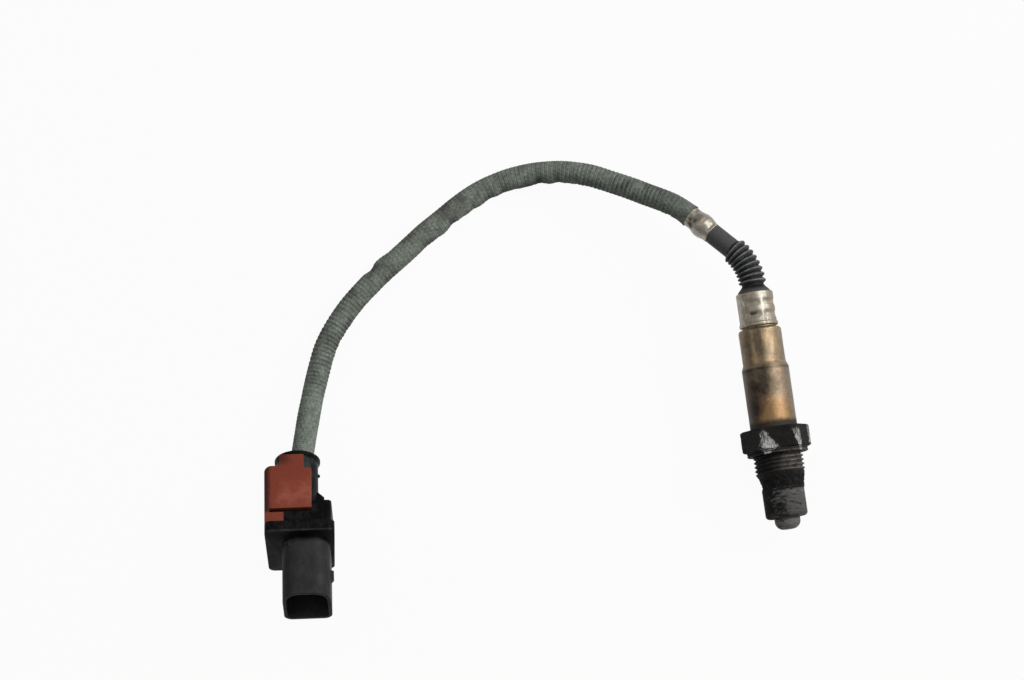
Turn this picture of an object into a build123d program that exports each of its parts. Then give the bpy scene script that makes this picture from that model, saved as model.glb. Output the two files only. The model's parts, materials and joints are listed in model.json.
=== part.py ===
from build123d import *

import math
import os

# Wideband exhaust-gas oxygen sensor with its sleeved cable and six-way connector, lying on a
# surface at Z = 0. Millimetres. The sensor's axis lies in the YZ plane with its nose towards -Y
# and down, because it rests on its sealing ring and on the rim of its protection tube. The origin
# is under the middle of the sensor's metal body. The cable leaves to the left, -X, and comes back
# to the connector, whose mouth also faces -Y.
#
# The sensor is built upright in its own frame, Z up its axis from the tip, and the connector in
# its own: X right, Y up and Z from its rear rim to its mouth.

# Sensor: lengths are along its axis, in order from the tip.
NUB_DIAMETER = 9.2
NUB_LENGTH = 4.2
NUB_ROUND = 3.0
TUBE_DIAMETER = 15.1
TUBE_LENGTH = 10.5
TUBE_ROUND = 1.3
TUBE_WALL = 0.5
GAS_HOLES = 8
GAS_HOLE_DIAMETER = 1.2
WORN_LENGTH = 5.6
WORN_DIAMETER = 16.8
THREAD_DIAMETER = 18.0
THREAD_LENGTH = 6.6
THREAD_CHAMFER = 0.5
UNDERCUT_DIAMETER = 16.6
UNDERCUT_LENGTH = 0.5
RING_DIAMETER = 22.0
RING_THICKNESS = 1.7
RING_EDGE = 0.3
HEX_ACROSS_FLATS = 22.0
HEX_HEIGHT = 7.6
HEX_CHAMFER = 1.0
LOWER_LENGTH = 21.8
CONE_LENGTH = 1.9
CONE_RISE = 0.75
UPPER_LENGTH = 12.3
UPPER_ROUND_SHARE = 0.7
SLEEVE_WALL = 0.5
NECK_DIAMETER = 12.0
NECK_GAP = 1.0
COLLAR_WALL = 0.6
COLLAR_LENGTH = 12.2
BEAD_PROUD = 0.35
BEAD_HEIGHT = 1.1
CRIMP_ROWS = (0.33, 0.68)
COLLAR_CRIMPS = 7
CRIMP_WIDTH = 4.2
CRIMP_DEPTH = 0.38
CRIMP_TOOL_RADIUS = 1.3

# Inside the sensor.
SPIGOT_LENGTH = 2.6
BOSS_LENGTH = 10.0
BOSS_LIP = 1.0
GAS_PORT_DIAMETER = 6.8
BORE_DIAMETER = 10.1
ELEMENT_WIDTH = 4.2
ELEMENT_THICKNESS = 1.35
ELEMENT_LENGTH = 61.5
ELEMENT_START = 2.5
FRONT_BUSH_LENGTH = 5.8
POWDER_LENGTH = 7.0
HOLDER_DIAMETER = 12.6
HOLDER_LENGTH = 10.5
HOLDER_BACK = 5.2
CLAMP_WALL = 0.5
CLAMP_GAP = 0.35
CLAMP_LENGTH = 5.0
CLAMP_SLOT = 3.0
CONTACT_WIDTH = 1.0
CONTACT_THICKNESS = 0.3
CONTACT_TAIL = 0.5
BARREL_LENGTH = 3.4
BARREL_WALL = 0.2
GROMMET_START = 1.0

# Leads: five, on a circle round the cable's centre line.
LEADS = 5
LEAD_DIAMETER = 1.7
LEAD_CIRCLE = 3.9

# Bellows boot and its ferrule.
BOOT_BASE_OVER_NECK = 0.1
BOOT_BASE_LENGTH = 1.2
BOOT_CONE_LENGTH = 3.3
BOOT_FLARE = 0.4
BOOT_BORE = 6.1
BELLOWS_VALLEY = 8.0
BELLOWS_CREST = 10.0
BELLOWS_RIDGES = 8
BELLOWS_BEND_RADIUS = 20.0
RIDGE_BASE_WIDTH = 1.3
RIDGE_CREST_WIDTH = 0.6
JOINT_LAP = 0.2
BOOT_HEADING = 40.0
BOOT_SLOPE = -7.0
BOOT_TUBE_DIAMETER = 7.4
BOOT_TUBE_LENGTH = 9.9
BOOT_SPIGOT_DIAMETER = 6.7
BOOT_SPIGOT_LENGTH = 7.0
FERRULE_LENGTH = 10.5
FERRULE_END_DIAMETER = 7.7
FERRULE_BULGE_DIAMETER = 9.0
FERRULE_TAIL_DIAMETER = 6.8
FERRULE_TAIL_LENGTH = 3.4
FERRULE_BULGE_ROUND = 1.2
FERRULE_SWELL = (0.12, 0.36, 0.52, 0.78)
FERRULE_CRIMP_ROW = 0.88
FERRULE_CRIMPS = 6
FERRULE_CRIMP_WIDTH = 2.6
FERRULE_CRIMP_DEPTH = 0.35

# Cable: a textile sleeve over the leads.
CABLE_DIAMETER = 8.1
CABLE_WALL = 0.6
CABLE_FIRST_RUN = 6.2
CABLE_POINTS = [
    (-28.0, 83.2, 16.05),
    (-40.1, 91.1, 12.8),
    (-53.7, 99.3, 9.05),
    (-67.0, 102.7, 6.25),
    (-80.9, 102.3, 4.4),
    (-94.2, 98.2, 4.05),
    (-111.0, 87.6, 4.05),
    (-122.7, 79.1, 4.05),
    (-134.2, 71.2, 4.05),
    (-145.8, 60.8, 4.05),
    (-154.2, 50.3, 4.05),
    (-159.4, 37.9, 4.05),
    (-165.3, 19.7, 6.3),
]
CABLE_END_DEPTH = 5.0
CABLE_END_OFFSET = 0.8
LEADS_PAST_CABLE = 4.3

# Connector: lengths are along its axis, in order from its rear rim.
CONNECTOR_X = -170.3
CONNECTOR_Y = 6.1
CONNECTOR_YAW = 5.8
RIM_DIAMETER = 16.3
RIM_THICKNESS = 1.2
CAP_DIAMETER = 14.7
CAP_LENGTH = 14.0
CAP_BORE = 12.6
CAP_NIB = 0.7
CAP_NIB_PLACE = 6.3
CAP_NIB_SINK = 0.2
SPIGOT_START = 9.8
SEAL_DIAMETER = 9.9
SEAL_LENGTH = 6.0
SEAL_RIBS = 3
SEAL_RIB_HEIGHT = 0.35
BLOCK_START = 20.2
BLOCK_LEFT = -9.3
BLOCK_RIGHT = 12.2
BLOCK_TOP = 7.4
BLOCK_BOTTOM = -11.8
BLOCK_ROUND = 1.5
WEB_REACH = 9.5
WEB_START = 14.0
WEB_SLANT = 2.1
WEB_THICKNESS = 4.0
RAIL_START = 8.5
RAIL_INSIDE = -7.4
RAIL_BOTTOM = -5.0
FLANGE_START = 30.7
FLANGE_THICKNESS = 4.1
FLANGE_LEFT = -11.3
FLANGE_RIGHT = 13.5
FLANGE_TOP = 12.3
FLANGE_BOTTOM = -16.8
FLANGE_ROUND = 2.4
FLANGE_DRAFT = 1.4
NOSE_LENGTH = 22.4
NOSE_WIDTH = 17.0
NOSE_RIGHT_OF_AXIS = 2.9
NOSE_TOP = 7.5
NOSE_BOTTOM = -11.9
NOSE_TOP_ROUND = 6.4
NOSE_BOTTOM_ROUND = 3.0
NOSE_WALL = 1.2
CAVITY_DEPTH = 19.5
KEY_PROUD = 1.1
KEY_LENGTH = 4.6
KEY_SLANT = 1.2
KEY_THICKNESS = 1.6
KEY_FROM_FLANGE = 10.3
CHAMBER_WALL = 0.8
CHAMBER_LENGTH = 4.8
PIN_COLUMNS = (-4.0, 0.0, 4.0)
PIN_ROWS = (-3.0, 3.0)
PIN_WIDTH = 1.5
PIN_THICKNESS = 0.8
PIN_SHORT_OF_MOUTH = 6.0
PIN_TIP_LENGTH = 1.0
PIN_TIP_TAPER = 18
CARRIER_THICKNESS = 2.6
RESISTOR_SIZE = (3.2, 1.2, 2.4)

# Secondary lock: a slide round the connector's upper left corner.
LOCK_START = 6.8
LOCK_LENGTH = 17.2
LOCK_RIGHT = 5.3
LOCK_THICKNESS = 1.8
LOCK_SIDE_WALL = 1.7
LOCK_ROUND = 2.6
LOCK_NOTCH_BELOW_TOP = 1.2
LOCK_STEP = 1.2
LOCK_NOTCH_START = 13.2
LOCK_NOTCH_LENGTH = 5.0
LOCK_NOTCH_DEPTH = 1.2
LOCK_NECK_LEFT = -6.0
LOCK_NECK_RIGHT = 2.6
LOCK_NECK_THICKNESS = 1.0
LOCK_TAB_RIGHT = -4.6
LOCK_TAB_GAP = 1.6
LOCK_TAB_LENGTH = 3.9
LOCK_SIDE_BOTTOM = -4.0

# Clearances: a piece that is pushed in, and one that is slid on. Cuts run PAST a face.
SNUG = 0.05
SLIDE = 0.3
PAST = 1.0

# Diameters that follow from what they go round, from the contact holder and the neck outwards.
upper_diameter = HOLDER_DIAMETER + 2 * (SNUG + CLAMP_WALL + CLAMP_GAP + SLEEVE_WALL)
lower_diameter = upper_diameter + 2 * CONE_RISE
upper_round = UPPER_ROUND_SHARE * (upper_diameter - NECK_DIAMETER) / 2
boot_base_diameter = NECK_DIAMETER + 2 * BOOT_BASE_OVER_NECK
collar_diameter = NECK_DIAMETER + 2 * (SNUG + COLLAR_WALL)
bead_diameter = collar_diameter + 2 * BEAD_PROUD

# Stations along the sensor's axis, from the tip.
tube_back = NUB_LENGTH + TUBE_LENGTH
thread_front = tube_back + WORN_LENGTH
ring_front = thread_front + THREAD_LENGTH
seat = ring_front + RING_THICKNESS
hex_back = seat + HEX_HEIGHT
boss_back = hex_back + BOSS_LENGTH
cone_front = hex_back + LOWER_LENGTH
cone_back = cone_front + CONE_LENGTH
upper_back = cone_back + UPPER_LENGTH
collar_front = upper_back + NECK_GAP
collar_back = collar_front + COLLAR_LENGTH
spigot_front = tube_back - SPIGOT_LENGTH
bush_front = spigot_front + SPIGOT_LENGTH + SNUG
powder_front = bush_front + FRONT_BUSH_LENGTH
powder_back = powder_front + POWDER_LENGTH
boot_front = collar_back - BOOT_BASE_LENGTH
arc_start = collar_back + BOOT_CONE_LENGTH
holder_back = upper_back - HOLDER_BACK
holder_front = holder_back - HOLDER_LENGTH
barrel_front = holder_back + 2 * CONTACT_TAIL + 1.0
grommet_front = collar_front + GROMMET_START

# Stations along the connector's axis, from the rim.
flange_front = FLANGE_START + FLANGE_THICKNESS
mouth = flange_front + NOSE_LENGTH
cavity_floor = mouth - CAVITY_DEPTH
chamber_front = BLOCK_START + CHAMBER_WALL
chamber_back = chamber_front + CHAMBER_LENGTH
nose_middle = (NOSE_TOP + NOSE_BOTTOM) / 2
lock_left = BLOCK_LEFT - SLIDE - LOCK_SIDE_WALL


def turned(outline, rounds=()):
    """Turn (radius, height) points about Z. rounds holds (corner, radius) pairs."""
    face = make_face(Polyline(*outline, close=True))
    for corner, radius in rounds:
        face = fillet(face.vertices().sort_by_distance(Vector(*corner))[0], radius)
    return revolve(Plane.XZ * face, axis=Axis.Z)


def rod(diameter, low, high, place=(0, 0)):
    """An upright cylinder between two heights."""
    return Pos(*place, low) * extrude(Circle(diameter / 2), high - low)


def block(x_span, y_span, z_span):
    """A box between three pairs of limits."""
    size = [high - low for low, high in (x_span, y_span, z_span)]
    middle = [(high + low) / 2 for low, high in (x_span, y_span, z_span)]
    return Pos(*middle) * Box(*size)


def link(start, end, width, thickness):
    """A flat strip from one point to another."""
    start, end = Vector(*start), Vector(*end)
    plane = Plane(origin=start, x_dir=(1, 0, 0), z_dir=end - start)
    return plane * extrude(Rectangle(width, thickness), (end - start).length)


def lead_places():
    """Where the leads cross the cable's section."""
    turns = [90 + 360 / LEADS * i for i in range(LEADS)]
    return [Vector(LEAD_CIRCLE / 2, 0).rotate(Axis.Z, turn) for turn in turns]


# --- Sensor, upright ---


def metal_shell():
    """Turned shell: worn thread end, thread, hexagon and the boss inside the housing sleeve."""
    spigot = TUBE_DIAMETER / 2 - TUBE_WALL - SNUG
    thread = THREAD_DIAMETER / 2
    boss = lower_diameter / 2 - SLEEVE_WALL - SNUG
    bore, port = BORE_DIAMETER / 2, GAS_PORT_DIAMETER / 2
    undercut = ring_front - UNDERCUT_LENGTH
    body = turned(
        [
            (port, spigot_front),
            (spigot, spigot_front),
            (spigot, tube_back),
            (TUBE_DIAMETER / 2 + SNUG, tube_back),
            (WORN_DIAMETER / 2, thread_front),
            (thread - THREAD_CHAMFER, thread_front),
            (thread, thread_front + THREAD_CHAMFER),
            (thread, undercut),
            (UNDERCUT_DIAMETER / 2, undercut + (thread - UNDERCUT_DIAMETER / 2) / 2),
            (UNDERCUT_DIAMETER / 2, seat),
            (boss, seat),
            (boss, boss_back),
            (ELEMENT_WIDTH / 2 + 1, boss_back),
            (ELEMENT_WIDTH / 2 + 1, boss_back - BOSS_LIP),
            (bore, boss_back - BOSS_LIP),
            (bore, bush_front),
            (port, bush_front),
        ]
    )
    across_corners = HEX_ACROSS_FLATS / math.cos(math.pi / 6)
    hexagon = Pos(0, 0, seat) * extrude(
        RegularPolygon(HEX_ACROSS_FLATS / 2, 6, major_radius=False), HEX_HEIGHT
    )
    corner, rise = across_corners / 2, HEX_CHAMFER * math.tan(math.pi / 6)
    hexagon &= turned(
        [
            (boss - SNUG, seat),
            (corner - HEX_CHAMFER, seat),
            (corner, seat + rise),
            (corner, hex_back - rise),
            (corner - HEX_CHAMFER, hex_back),
            (boss - SNUG, hex_back),
        ]
    )
    return body + hexagon


def sealing_ring():
    """Folded crush ring, held captive on the undercut behind the thread."""
    inner, outer = UNDERCUT_DIAMETER / 2 + SNUG * 3, RING_DIAMETER / 2
    middle = (ring_front + seat) / 2
    return turned(
        [
            (inner, ring_front),
            (outer - RING_EDGE, ring_front),
            (outer, ring_front + RING_EDGE),
            (outer, middle - RING_EDGE / 2),
            (outer - RING_EDGE, middle),
            (outer, middle + RING_EDGE / 2),
            (outer, seat - RING_EDGE),
            (outer - RING_EDGE, seat),
            (inner, seat),
        ]
    )


def outer_protection_tube():
    """Drawn cup over the shell's spigot, with gas holes round the nub in its end."""
    radius = TUBE_DIAMETER / 2
    cup = turned(
        [
            (NUB_DIAMETER / 2 + SNUG, NUB_LENGTH),
            (radius, NUB_LENGTH),
            (radius, tube_back),
            (radius - TUBE_WALL, tube_back),
            (radius - TUBE_WALL, NUB_LENGTH + TUBE_WALL),
            (NUB_DIAMETER / 2 + SNUG, NUB_LENGTH + TUBE_WALL),
        ],
        [
            ((radius, NUB_LENGTH), TUBE_ROUND),
            ((radius - TUBE_WALL, NUB_LENGTH + TUBE_WALL), TUBE_ROUND - TUBE_WALL),
        ],
    )
    circle = (NUB_DIAMETER / 2 + radius - TUBE_ROUND) / 2
    for place in PolarLocations(circle, GAS_HOLES):
        cup -= place * rod(GAS_HOLE_DIAMETER, 0, spigot_front - 1)
    return cup


def inner_protection_tube():
    """Domed inner tube: its nose stands out of the outer tube, its flange sits on the spigot."""
    radius, wall = NUB_DIAMETER / 2, TUBE_WALL
    flange = TUBE_DIAMETER / 2 - TUBE_WALL - SNUG * 3
    cup = turned(
        [
            (0, 0),
            (radius, 0),
            (radius, spigot_front - wall),
            (flange, spigot_front - wall),
            (flange, spigot_front),
            (radius - wall, spigot_front),
            (radius - wall, wall),
            (0, wall),
        ],
        [((radius, 0), NUB_ROUND), ((radius - wall, wall), NUB_ROUND - wall)],
    )
    cup -= rod(GAS_HOLE_DIAMETER, -PAST, 2 * wall + PAST)
    side_hole = Rot(0, 90, 0) * extrude(Circle(GAS_HOLE_DIAMETER / 2), radius + PAST)
    for place in PolarLocations(0, GAS_HOLES // 2):
        cup -= place * (Pos(0, 0, (NUB_LENGTH + spigot_front) / 2 + wall) * side_hole)
    return cup


def sensing_element():
    """Flat ceramic strip from the nub to the contacts."""
    half_width, half_thickness = ELEMENT_WIDTH / 2, ELEMENT_THICKNESS / 2
    span = (ELEMENT_START, ELEMENT_START + ELEMENT_LENGTH)
    return block((-half_width, half_width), (-half_thickness, half_thickness), span)


def bush(low, high):
    """A ring in the shell's bore that holds the sensing element in its slot."""
    half_width, half_thickness = ELEMENT_WIDTH / 2 + SNUG, ELEMENT_THICKNESS / 2 + SNUG
    slot = block(
        (-half_width, half_width), (-half_thickness, half_thickness), (low - PAST, high + PAST)
    )
    return rod(BORE_DIAMETER - 2 * SNUG, low, high) - slot


def housing_sleeve():
    """Drawn stepped sleeve from the hexagon to the grommet."""
    lower, upper, neck = (d / 2 for d in (lower_diameter, upper_diameter, NECK_DIAMETER))
    wall = SLEEVE_WALL
    neck_back = boot_front
    return turned(
        [
            (lower, hex_back),
            (lower, cone_front),
            (upper, cone_back),
            (upper, upper_back),
            (neck, upper_back),
            (neck, neck_back),
            (neck - wall, neck_back),
            (neck - wall, upper_back - wall),
            (upper - wall, upper_back - wall),
            (upper - wall, cone_back),
            (lower - wall, cone_front),
            (lower - wall, hex_back),
        ],
        [
            ((upper, upper_back), upper_round),
            ((upper - wall, upper_back - wall), upper_round * 0.6),
        ],
    )


def contact_holder(side):
    """Half of the ceramic holder that presses the contacts on the element; side is 1 or -1."""
    gap = ELEMENT_THICKNESS / 2 + CONTACT_THICKNESS + 3 * SNUG
    half = rod(HOLDER_DIAMETER, holder_front, holder_back)
    reach = HOLDER_DIAMETER
    keep = block((-reach, reach), sorted((side * gap, side * reach)), (holder_front, holder_back))
    groove = block(
        (-CONTACT_WIDTH, CONTACT_WIDTH),
        sorted((side * HOLDER_DIAMETER / 2 * 0.8, side * reach)),
        (holder_front - PAST, holder_back + PAST),
    )
    return (half & keep) - groove


def holder_clamp():
    """Split spring ring round the two holder halves."""
    inner = HOLDER_DIAMETER / 2 + SNUG
    middle = (max(holder_front, cone_back) + holder_back) / 2
    low, high = middle - CLAMP_LENGTH / 2, middle + CLAMP_LENGTH / 2
    ring = turned(
        [(inner, low), (inner + CLAMP_WALL, low), (inner + CLAMP_WALL, high), (inner, high)]
    )
    slot = CLAMP_SLOT / 2
    return ring - block((0, inner + CLAMP_WALL + PAST), (-slot, slot), (low - PAST, high + PAST))


def contact_springs():
    """Five flat contacts on the element, three above and two below, each with a crimp barrel."""
    surface = ELEMENT_THICKNESS / 2 + SNUG + CONTACT_THICKNESS / 2
    pad_pitch = (ELEMENT_WIDTH - CONTACT_WIDTH) / 2 - SNUG
    contacts = []
    for lead in lead_places():
        side = 1 if lead.Y > 0 else -1
        across = pad_pitch if side > 0 else CONTACT_WIDTH
        pad = 0 if abs(lead.X) < SNUG else math.copysign(across, lead.X)
        strip_end = (pad, side * surface, holder_back + CONTACT_TAIL)
        barrel_wall = LEAD_DIAMETER / 2 + SNUG + BARREL_WALL / 2
        foot = Vector(lead.X, lead.Y - side * barrel_wall, barrel_front + CONTACT_TAIL)
        strip = link(
            (pad, side * surface, holder_front - CONTACT_TAIL),
            strip_end,
            CONTACT_WIDTH,
            CONTACT_THICKNESS,
        )
        crank = link(strip_end, foot, CONTACT_WIDTH, BARREL_WALL)
        outside = LEAD_DIAMETER + 2 * (SNUG + BARREL_WALL)
        barrel = rod(outside, barrel_front, barrel_front + BARREL_LENGTH, (lead.X, lead.Y))
        joint = Box(CONTACT_WIDTH, CONTACT_THICKNESS, CONTACT_THICKNESS)
        joined = strip + Pos(*strip_end) * joint + crank
        hollow_front = barrel_front + CONTACT_TAIL / 2
        hollow_back = barrel_front + BARREL_LENGTH + SNUG
        hollow = rod(LEAD_DIAMETER + 2 * SNUG, hollow_front, hollow_back, (lead.X, lead.Y))
        contacts.append((joined + barrel) - hollow)
    return contacts


def grommet():
    """Rubber plug in the sleeve's neck, bored for the leads."""
    plug = rod(NECK_DIAMETER - 2 * (SLEEVE_WALL + SNUG), grommet_front, boot_front)
    for lead in lead_places():
        hole = LEAD_DIAMETER + 2 * SNUG
        plug -= rod(hole, grommet_front - PAST, boot_front + PAST, (lead.X, lead.Y))
    return plug


def crimps(radius, rows, count, width, depth, tool):
    """Bars that dent a tube from outside: count of them round it at each height in rows."""
    bar = Pos(radius + tool - depth, 0, 0) * Rot(90, 0, 0) * Cylinder(tool, width)
    turns = PolarLocations(0, count)
    return [Pos(0, 0, row) * place * bar for row in rows for place in turns]


def crimp_collar():
    """Steel collar with a rolled bead and two rows of crimps, over the sleeve's neck."""
    inner, outer, bead = NECK_DIAMETER / 2 + SNUG, collar_diameter / 2, bead_diameter / 2
    lip = boot_base_diameter / 2 + SNUG
    collar = turned(
        [
            (inner, collar_front),
            (bead, collar_front),
            (bead, collar_front + BEAD_HEIGHT),
            (outer, collar_front + BEAD_HEIGHT * 1.4),
            (outer, collar_back),
            (lip, collar_back),
            (lip, boot_front),
            (inner, boot_front),
        ],
        [
            ((bead, collar_front), BEAD_HEIGHT * 0.45),
            ((bead, collar_front + BEAD_HEIGHT), BEAD_HEIGHT * 0.4),
            ((outer, collar_back), (outer - lip) * 0.8),
        ],
    )
    rows = [collar_front + share * COLLAR_LENGTH for share in CRIMP_ROWS]
    return collar - crimps(
        outer, rows, COLLAR_CRIMPS, CRIMP_WIDTH, CRIMP_DEPTH, CRIMP_TOOL_RADIUS
    )


# --- How the sensor lies ---


def sensor_frame():
    """The plane that stands the sensor on its ring's edge and its tube's rounded rim.

    Its pitch comes from those two, and its place puts the metal body's middle over the origin.
    """
    along = ring_front + RING_EDGE - NUB_LENGTH - TUBE_ROUND
    out = RING_DIAMETER / 2 - (TUBE_DIAMETER / 2 - TUBE_ROUND)
    pitch = math.atan2(out, along) - math.asin(TUBE_ROUND / math.hypot(along, out))
    plane = Plane(origin=(0, 0, 0), x_dir=(1, 0, 0), z_dir=(0, math.cos(pitch), math.sin(pitch)))
    metal = [metal_shell(), sealing_ring(), outer_protection_tube(), inner_protection_tube()]
    metal += [crimp_collar(), housing_sleeve()]
    box = Compound([plane.location * piece for piece in metal]).bounding_box()
    return Plane(
        origin=(0, -(box.min.Y + box.max.Y) / 2, -box.min.Z), x_dir=(1, 0, 0), z_dir=plane.z_dir
    )


# --- Cable route ---


def heading(turn, slope):
    """A direction from its turn to the left of +Y and its slope, in degrees."""
    turn, slope = math.radians(turn), math.radians(slope)
    return Vector(
        -math.sin(turn) * math.cos(slope), math.cos(turn) * math.cos(slope), math.sin(slope)
    )


class BootBend:
    """The bellows' arc, from the sensor's axis to the boot's own direction."""

    def __init__(self, sensor):
        self.ahead = sensor.z_dir
        self.end_direction = heading(BOOT_HEADING, BOOT_SLOPE)
        self.turn = math.radians(self.ahead.get_angle(self.end_direction))
        self.start = sensor.origin + self.ahead * arc_start
        side = self.end_direction - self.ahead * self.ahead.dot(self.end_direction)
        self.side = side.normalized()
        self.corner = self.start + self.ahead * (BELLOWS_BEND_RADIUS * math.tan(self.turn / 2))

    def plane(self, share):
        """The plane across the arc at a share of its turn."""
        angle = share * self.turn
        across, on = 1 - math.cos(angle), math.sin(angle)
        place = self.start + (self.side * across + self.ahead * on) * BELLOWS_BEND_RADIUS
        return Plane(origin=place, z_dir=self.ahead * math.cos(angle) + self.side * on)


def corner_radii(points):
    """As large an arc at each corner as its two runs allow."""
    radii = []
    for before, corner, after in zip(points, points[1:], points[2:]):
        run_in, run_out = corner - before, after - corner
        half_turn = math.radians(run_in.get_angle(run_out)) / 2
        radii.append(0.45 * min(run_in.length, run_out.length) / math.tan(half_turn))
    return radii


def swept(section, points, radii):
    """A section along straight runs joined by tangent arcs."""
    path = FilletPolyline(*points, radius=radii)
    start = Plane(origin=points[0], z_dir=points[1] - points[0])
    return sweep(start * section, path=path)


# --- Boot, ferrule and cable, where they lie ---


def bellows_boot(sensor, bend):
    """Moulded boot: base plug, cone, bellows that follow the bend, and a straight tube."""
    base, valley, tube = boot_base_diameter / 2, BELLOWS_VALLEY / 2, BOOT_TUBE_DIAMETER / 2
    spigot = BOOT_SPIGOT_DIAMETER / 2
    foot = turned(
        [
            (0, boot_front),
            (base, boot_front),
            (base, collar_back),
            (valley + BOOT_FLARE, arc_start - BOOT_FLARE),
            (valley, arc_start),
            (0, arc_start),
        ]
    )
    end = bend.plane(1)
    straight = turned(
        [
            (0, 0),
            (valley, 0),
            (tube, 2 * BOOT_FLARE),
            (tube, BOOT_TUBE_LENGTH),
            (spigot, BOOT_TUBE_LENGTH),
            (spigot, BOOT_TUBE_LENGTH + BOOT_SPIGOT_LENGTH),
            (0, BOOT_TUBE_LENGTH + BOOT_SPIGOT_LENGTH),
        ]
    )
    ridge_foot, ridge_top = RIDGE_BASE_WIDTH / 2, RIDGE_CREST_WIDTH / 2
    crest = BELLOWS_CREST / 2
    ridge = turned(
        [
            (0, -ridge_foot),
            (valley - BOOT_FLARE, -ridge_foot),
            (crest, -ridge_top),
            (crest, ridge_top),
            (valley - BOOT_FLARE, ridge_foot),
            (0, ridge_foot),
        ]
    )
    middles = [(i + 0.5) / BELLOWS_RIDGES for i in range(BELLOWS_RIDGES)]
    joints = [bend.plane(share).origin for share in (0, *middles, 1)]
    boot = sensor.location * foot + end.location * straight
    for joint, following in zip(joints, joints[1:]):
        run = (following - joint).normalized()
        valley_run = Plane(origin=joint - run * JOINT_LAP, z_dir=run) * Circle(valley)
        boot += extrude(valley_run, (following - joint).length + 2 * JOINT_LAP, dir=run)
    for share in middles:
        boot += bend.plane(share).location * ridge
    back = end.origin + end.z_dir * (BOOT_TUBE_LENGTH + BOOT_SPIGOT_LENGTH + PAST)
    front = sensor.origin + sensor.z_dir * (boot_front - PAST)
    bore = swept(Circle(BOOT_BORE / 2), [front, bend.corner, back], [BELLOWS_BEND_RADIUS])
    return boot - bore


def boot_ferrule():
    """Crimped tube that joins the boot to the cable's sleeve, upright, from the boot's tube."""
    end, bulge = FERRULE_END_DIAMETER / 2, FERRULE_BULGE_DIAMETER / 2
    over_boot = BOOT_SPIGOT_DIAMETER / 2 + SNUG
    tail, inner = FERRULE_TAIL_DIAMETER / 2, BOOT_BORE / 2
    length = FERRULE_LENGTH
    foot, top, shoulder, heel = (share * length for share in FERRULE_SWELL)
    lip = BOOT_SPIGOT_LENGTH + SNUG
    tube = turned(
        [
            (over_boot, 0),
            (end, 0),
            (end, foot),
            (bulge, top),
            (bulge, shoulder),
            (end, heel),
            (end, length),
            (tail, length),
            (tail, length + FERRULE_TAIL_LENGTH),
            (inner, length + FERRULE_TAIL_LENGTH),
            (inner, lip),
            (over_boot, lip),
        ],
        [((bulge, top), FERRULE_BULGE_ROUND), ((bulge, shoulder), FERRULE_BULGE_ROUND)],
    )
    return tube - crimps(
        end,
        [FERRULE_CRIMP_ROW * length],
        FERRULE_CRIMPS,
        FERRULE_CRIMP_WIDTH,
        FERRULE_CRIMP_DEPTH,
        CRIMP_TOOL_RADIUS,
    )


# --- Connector, upright on its rim ---


def plate(left, right, bottom, top, start, length, round_by):
    """A plate across the connector's axis with rounded corners."""
    outline = RectangleRounded(right - left, top - bottom, round_by)
    return Pos((left + right) / 2, (bottom + top) / 2, start) * extrude(outline, length)


def nose_section(inset):
    """The nose's arched outline, drawn in by inset."""
    left, right = -NOSE_WIDTH / 2 + inset, NOSE_WIDTH / 2 - inset
    bottom, top = NOSE_BOTTOM + inset, NOSE_TOP - inset
    face = make_face(
        Polyline((left, bottom), (right, bottom), (right, top), (left, top), close=True)
    )
    face = fillet(face.vertices().group_by(Axis.Y)[-1], NOSE_TOP_ROUND - inset)
    face = fillet(face.vertices().group_by(Axis.Y)[0], NOSE_BOTTOM_ROUND - inset)
    return Pos(NOSE_RIGHT_OF_AXIS, 0) * face


def pin_places():
    """Where the six pins cross the connector's section."""
    return [
        (NOSE_RIGHT_OF_AXIS + column, nose_middle + row)
        for row in PIN_ROWS
        for column in PIN_COLUMNS
    ]


def chamber():
    """The space in the block where the leads reach the pins."""
    margin = PIN_WIDTH + 1
    columns, rows = zip(*pin_places())
    x_span = (min(columns) - margin, max(columns) + margin)
    y_span = (min(rows) - margin, max(rows) + margin)
    return block(x_span, y_span, (chamber_front, chamber_back))


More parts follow.
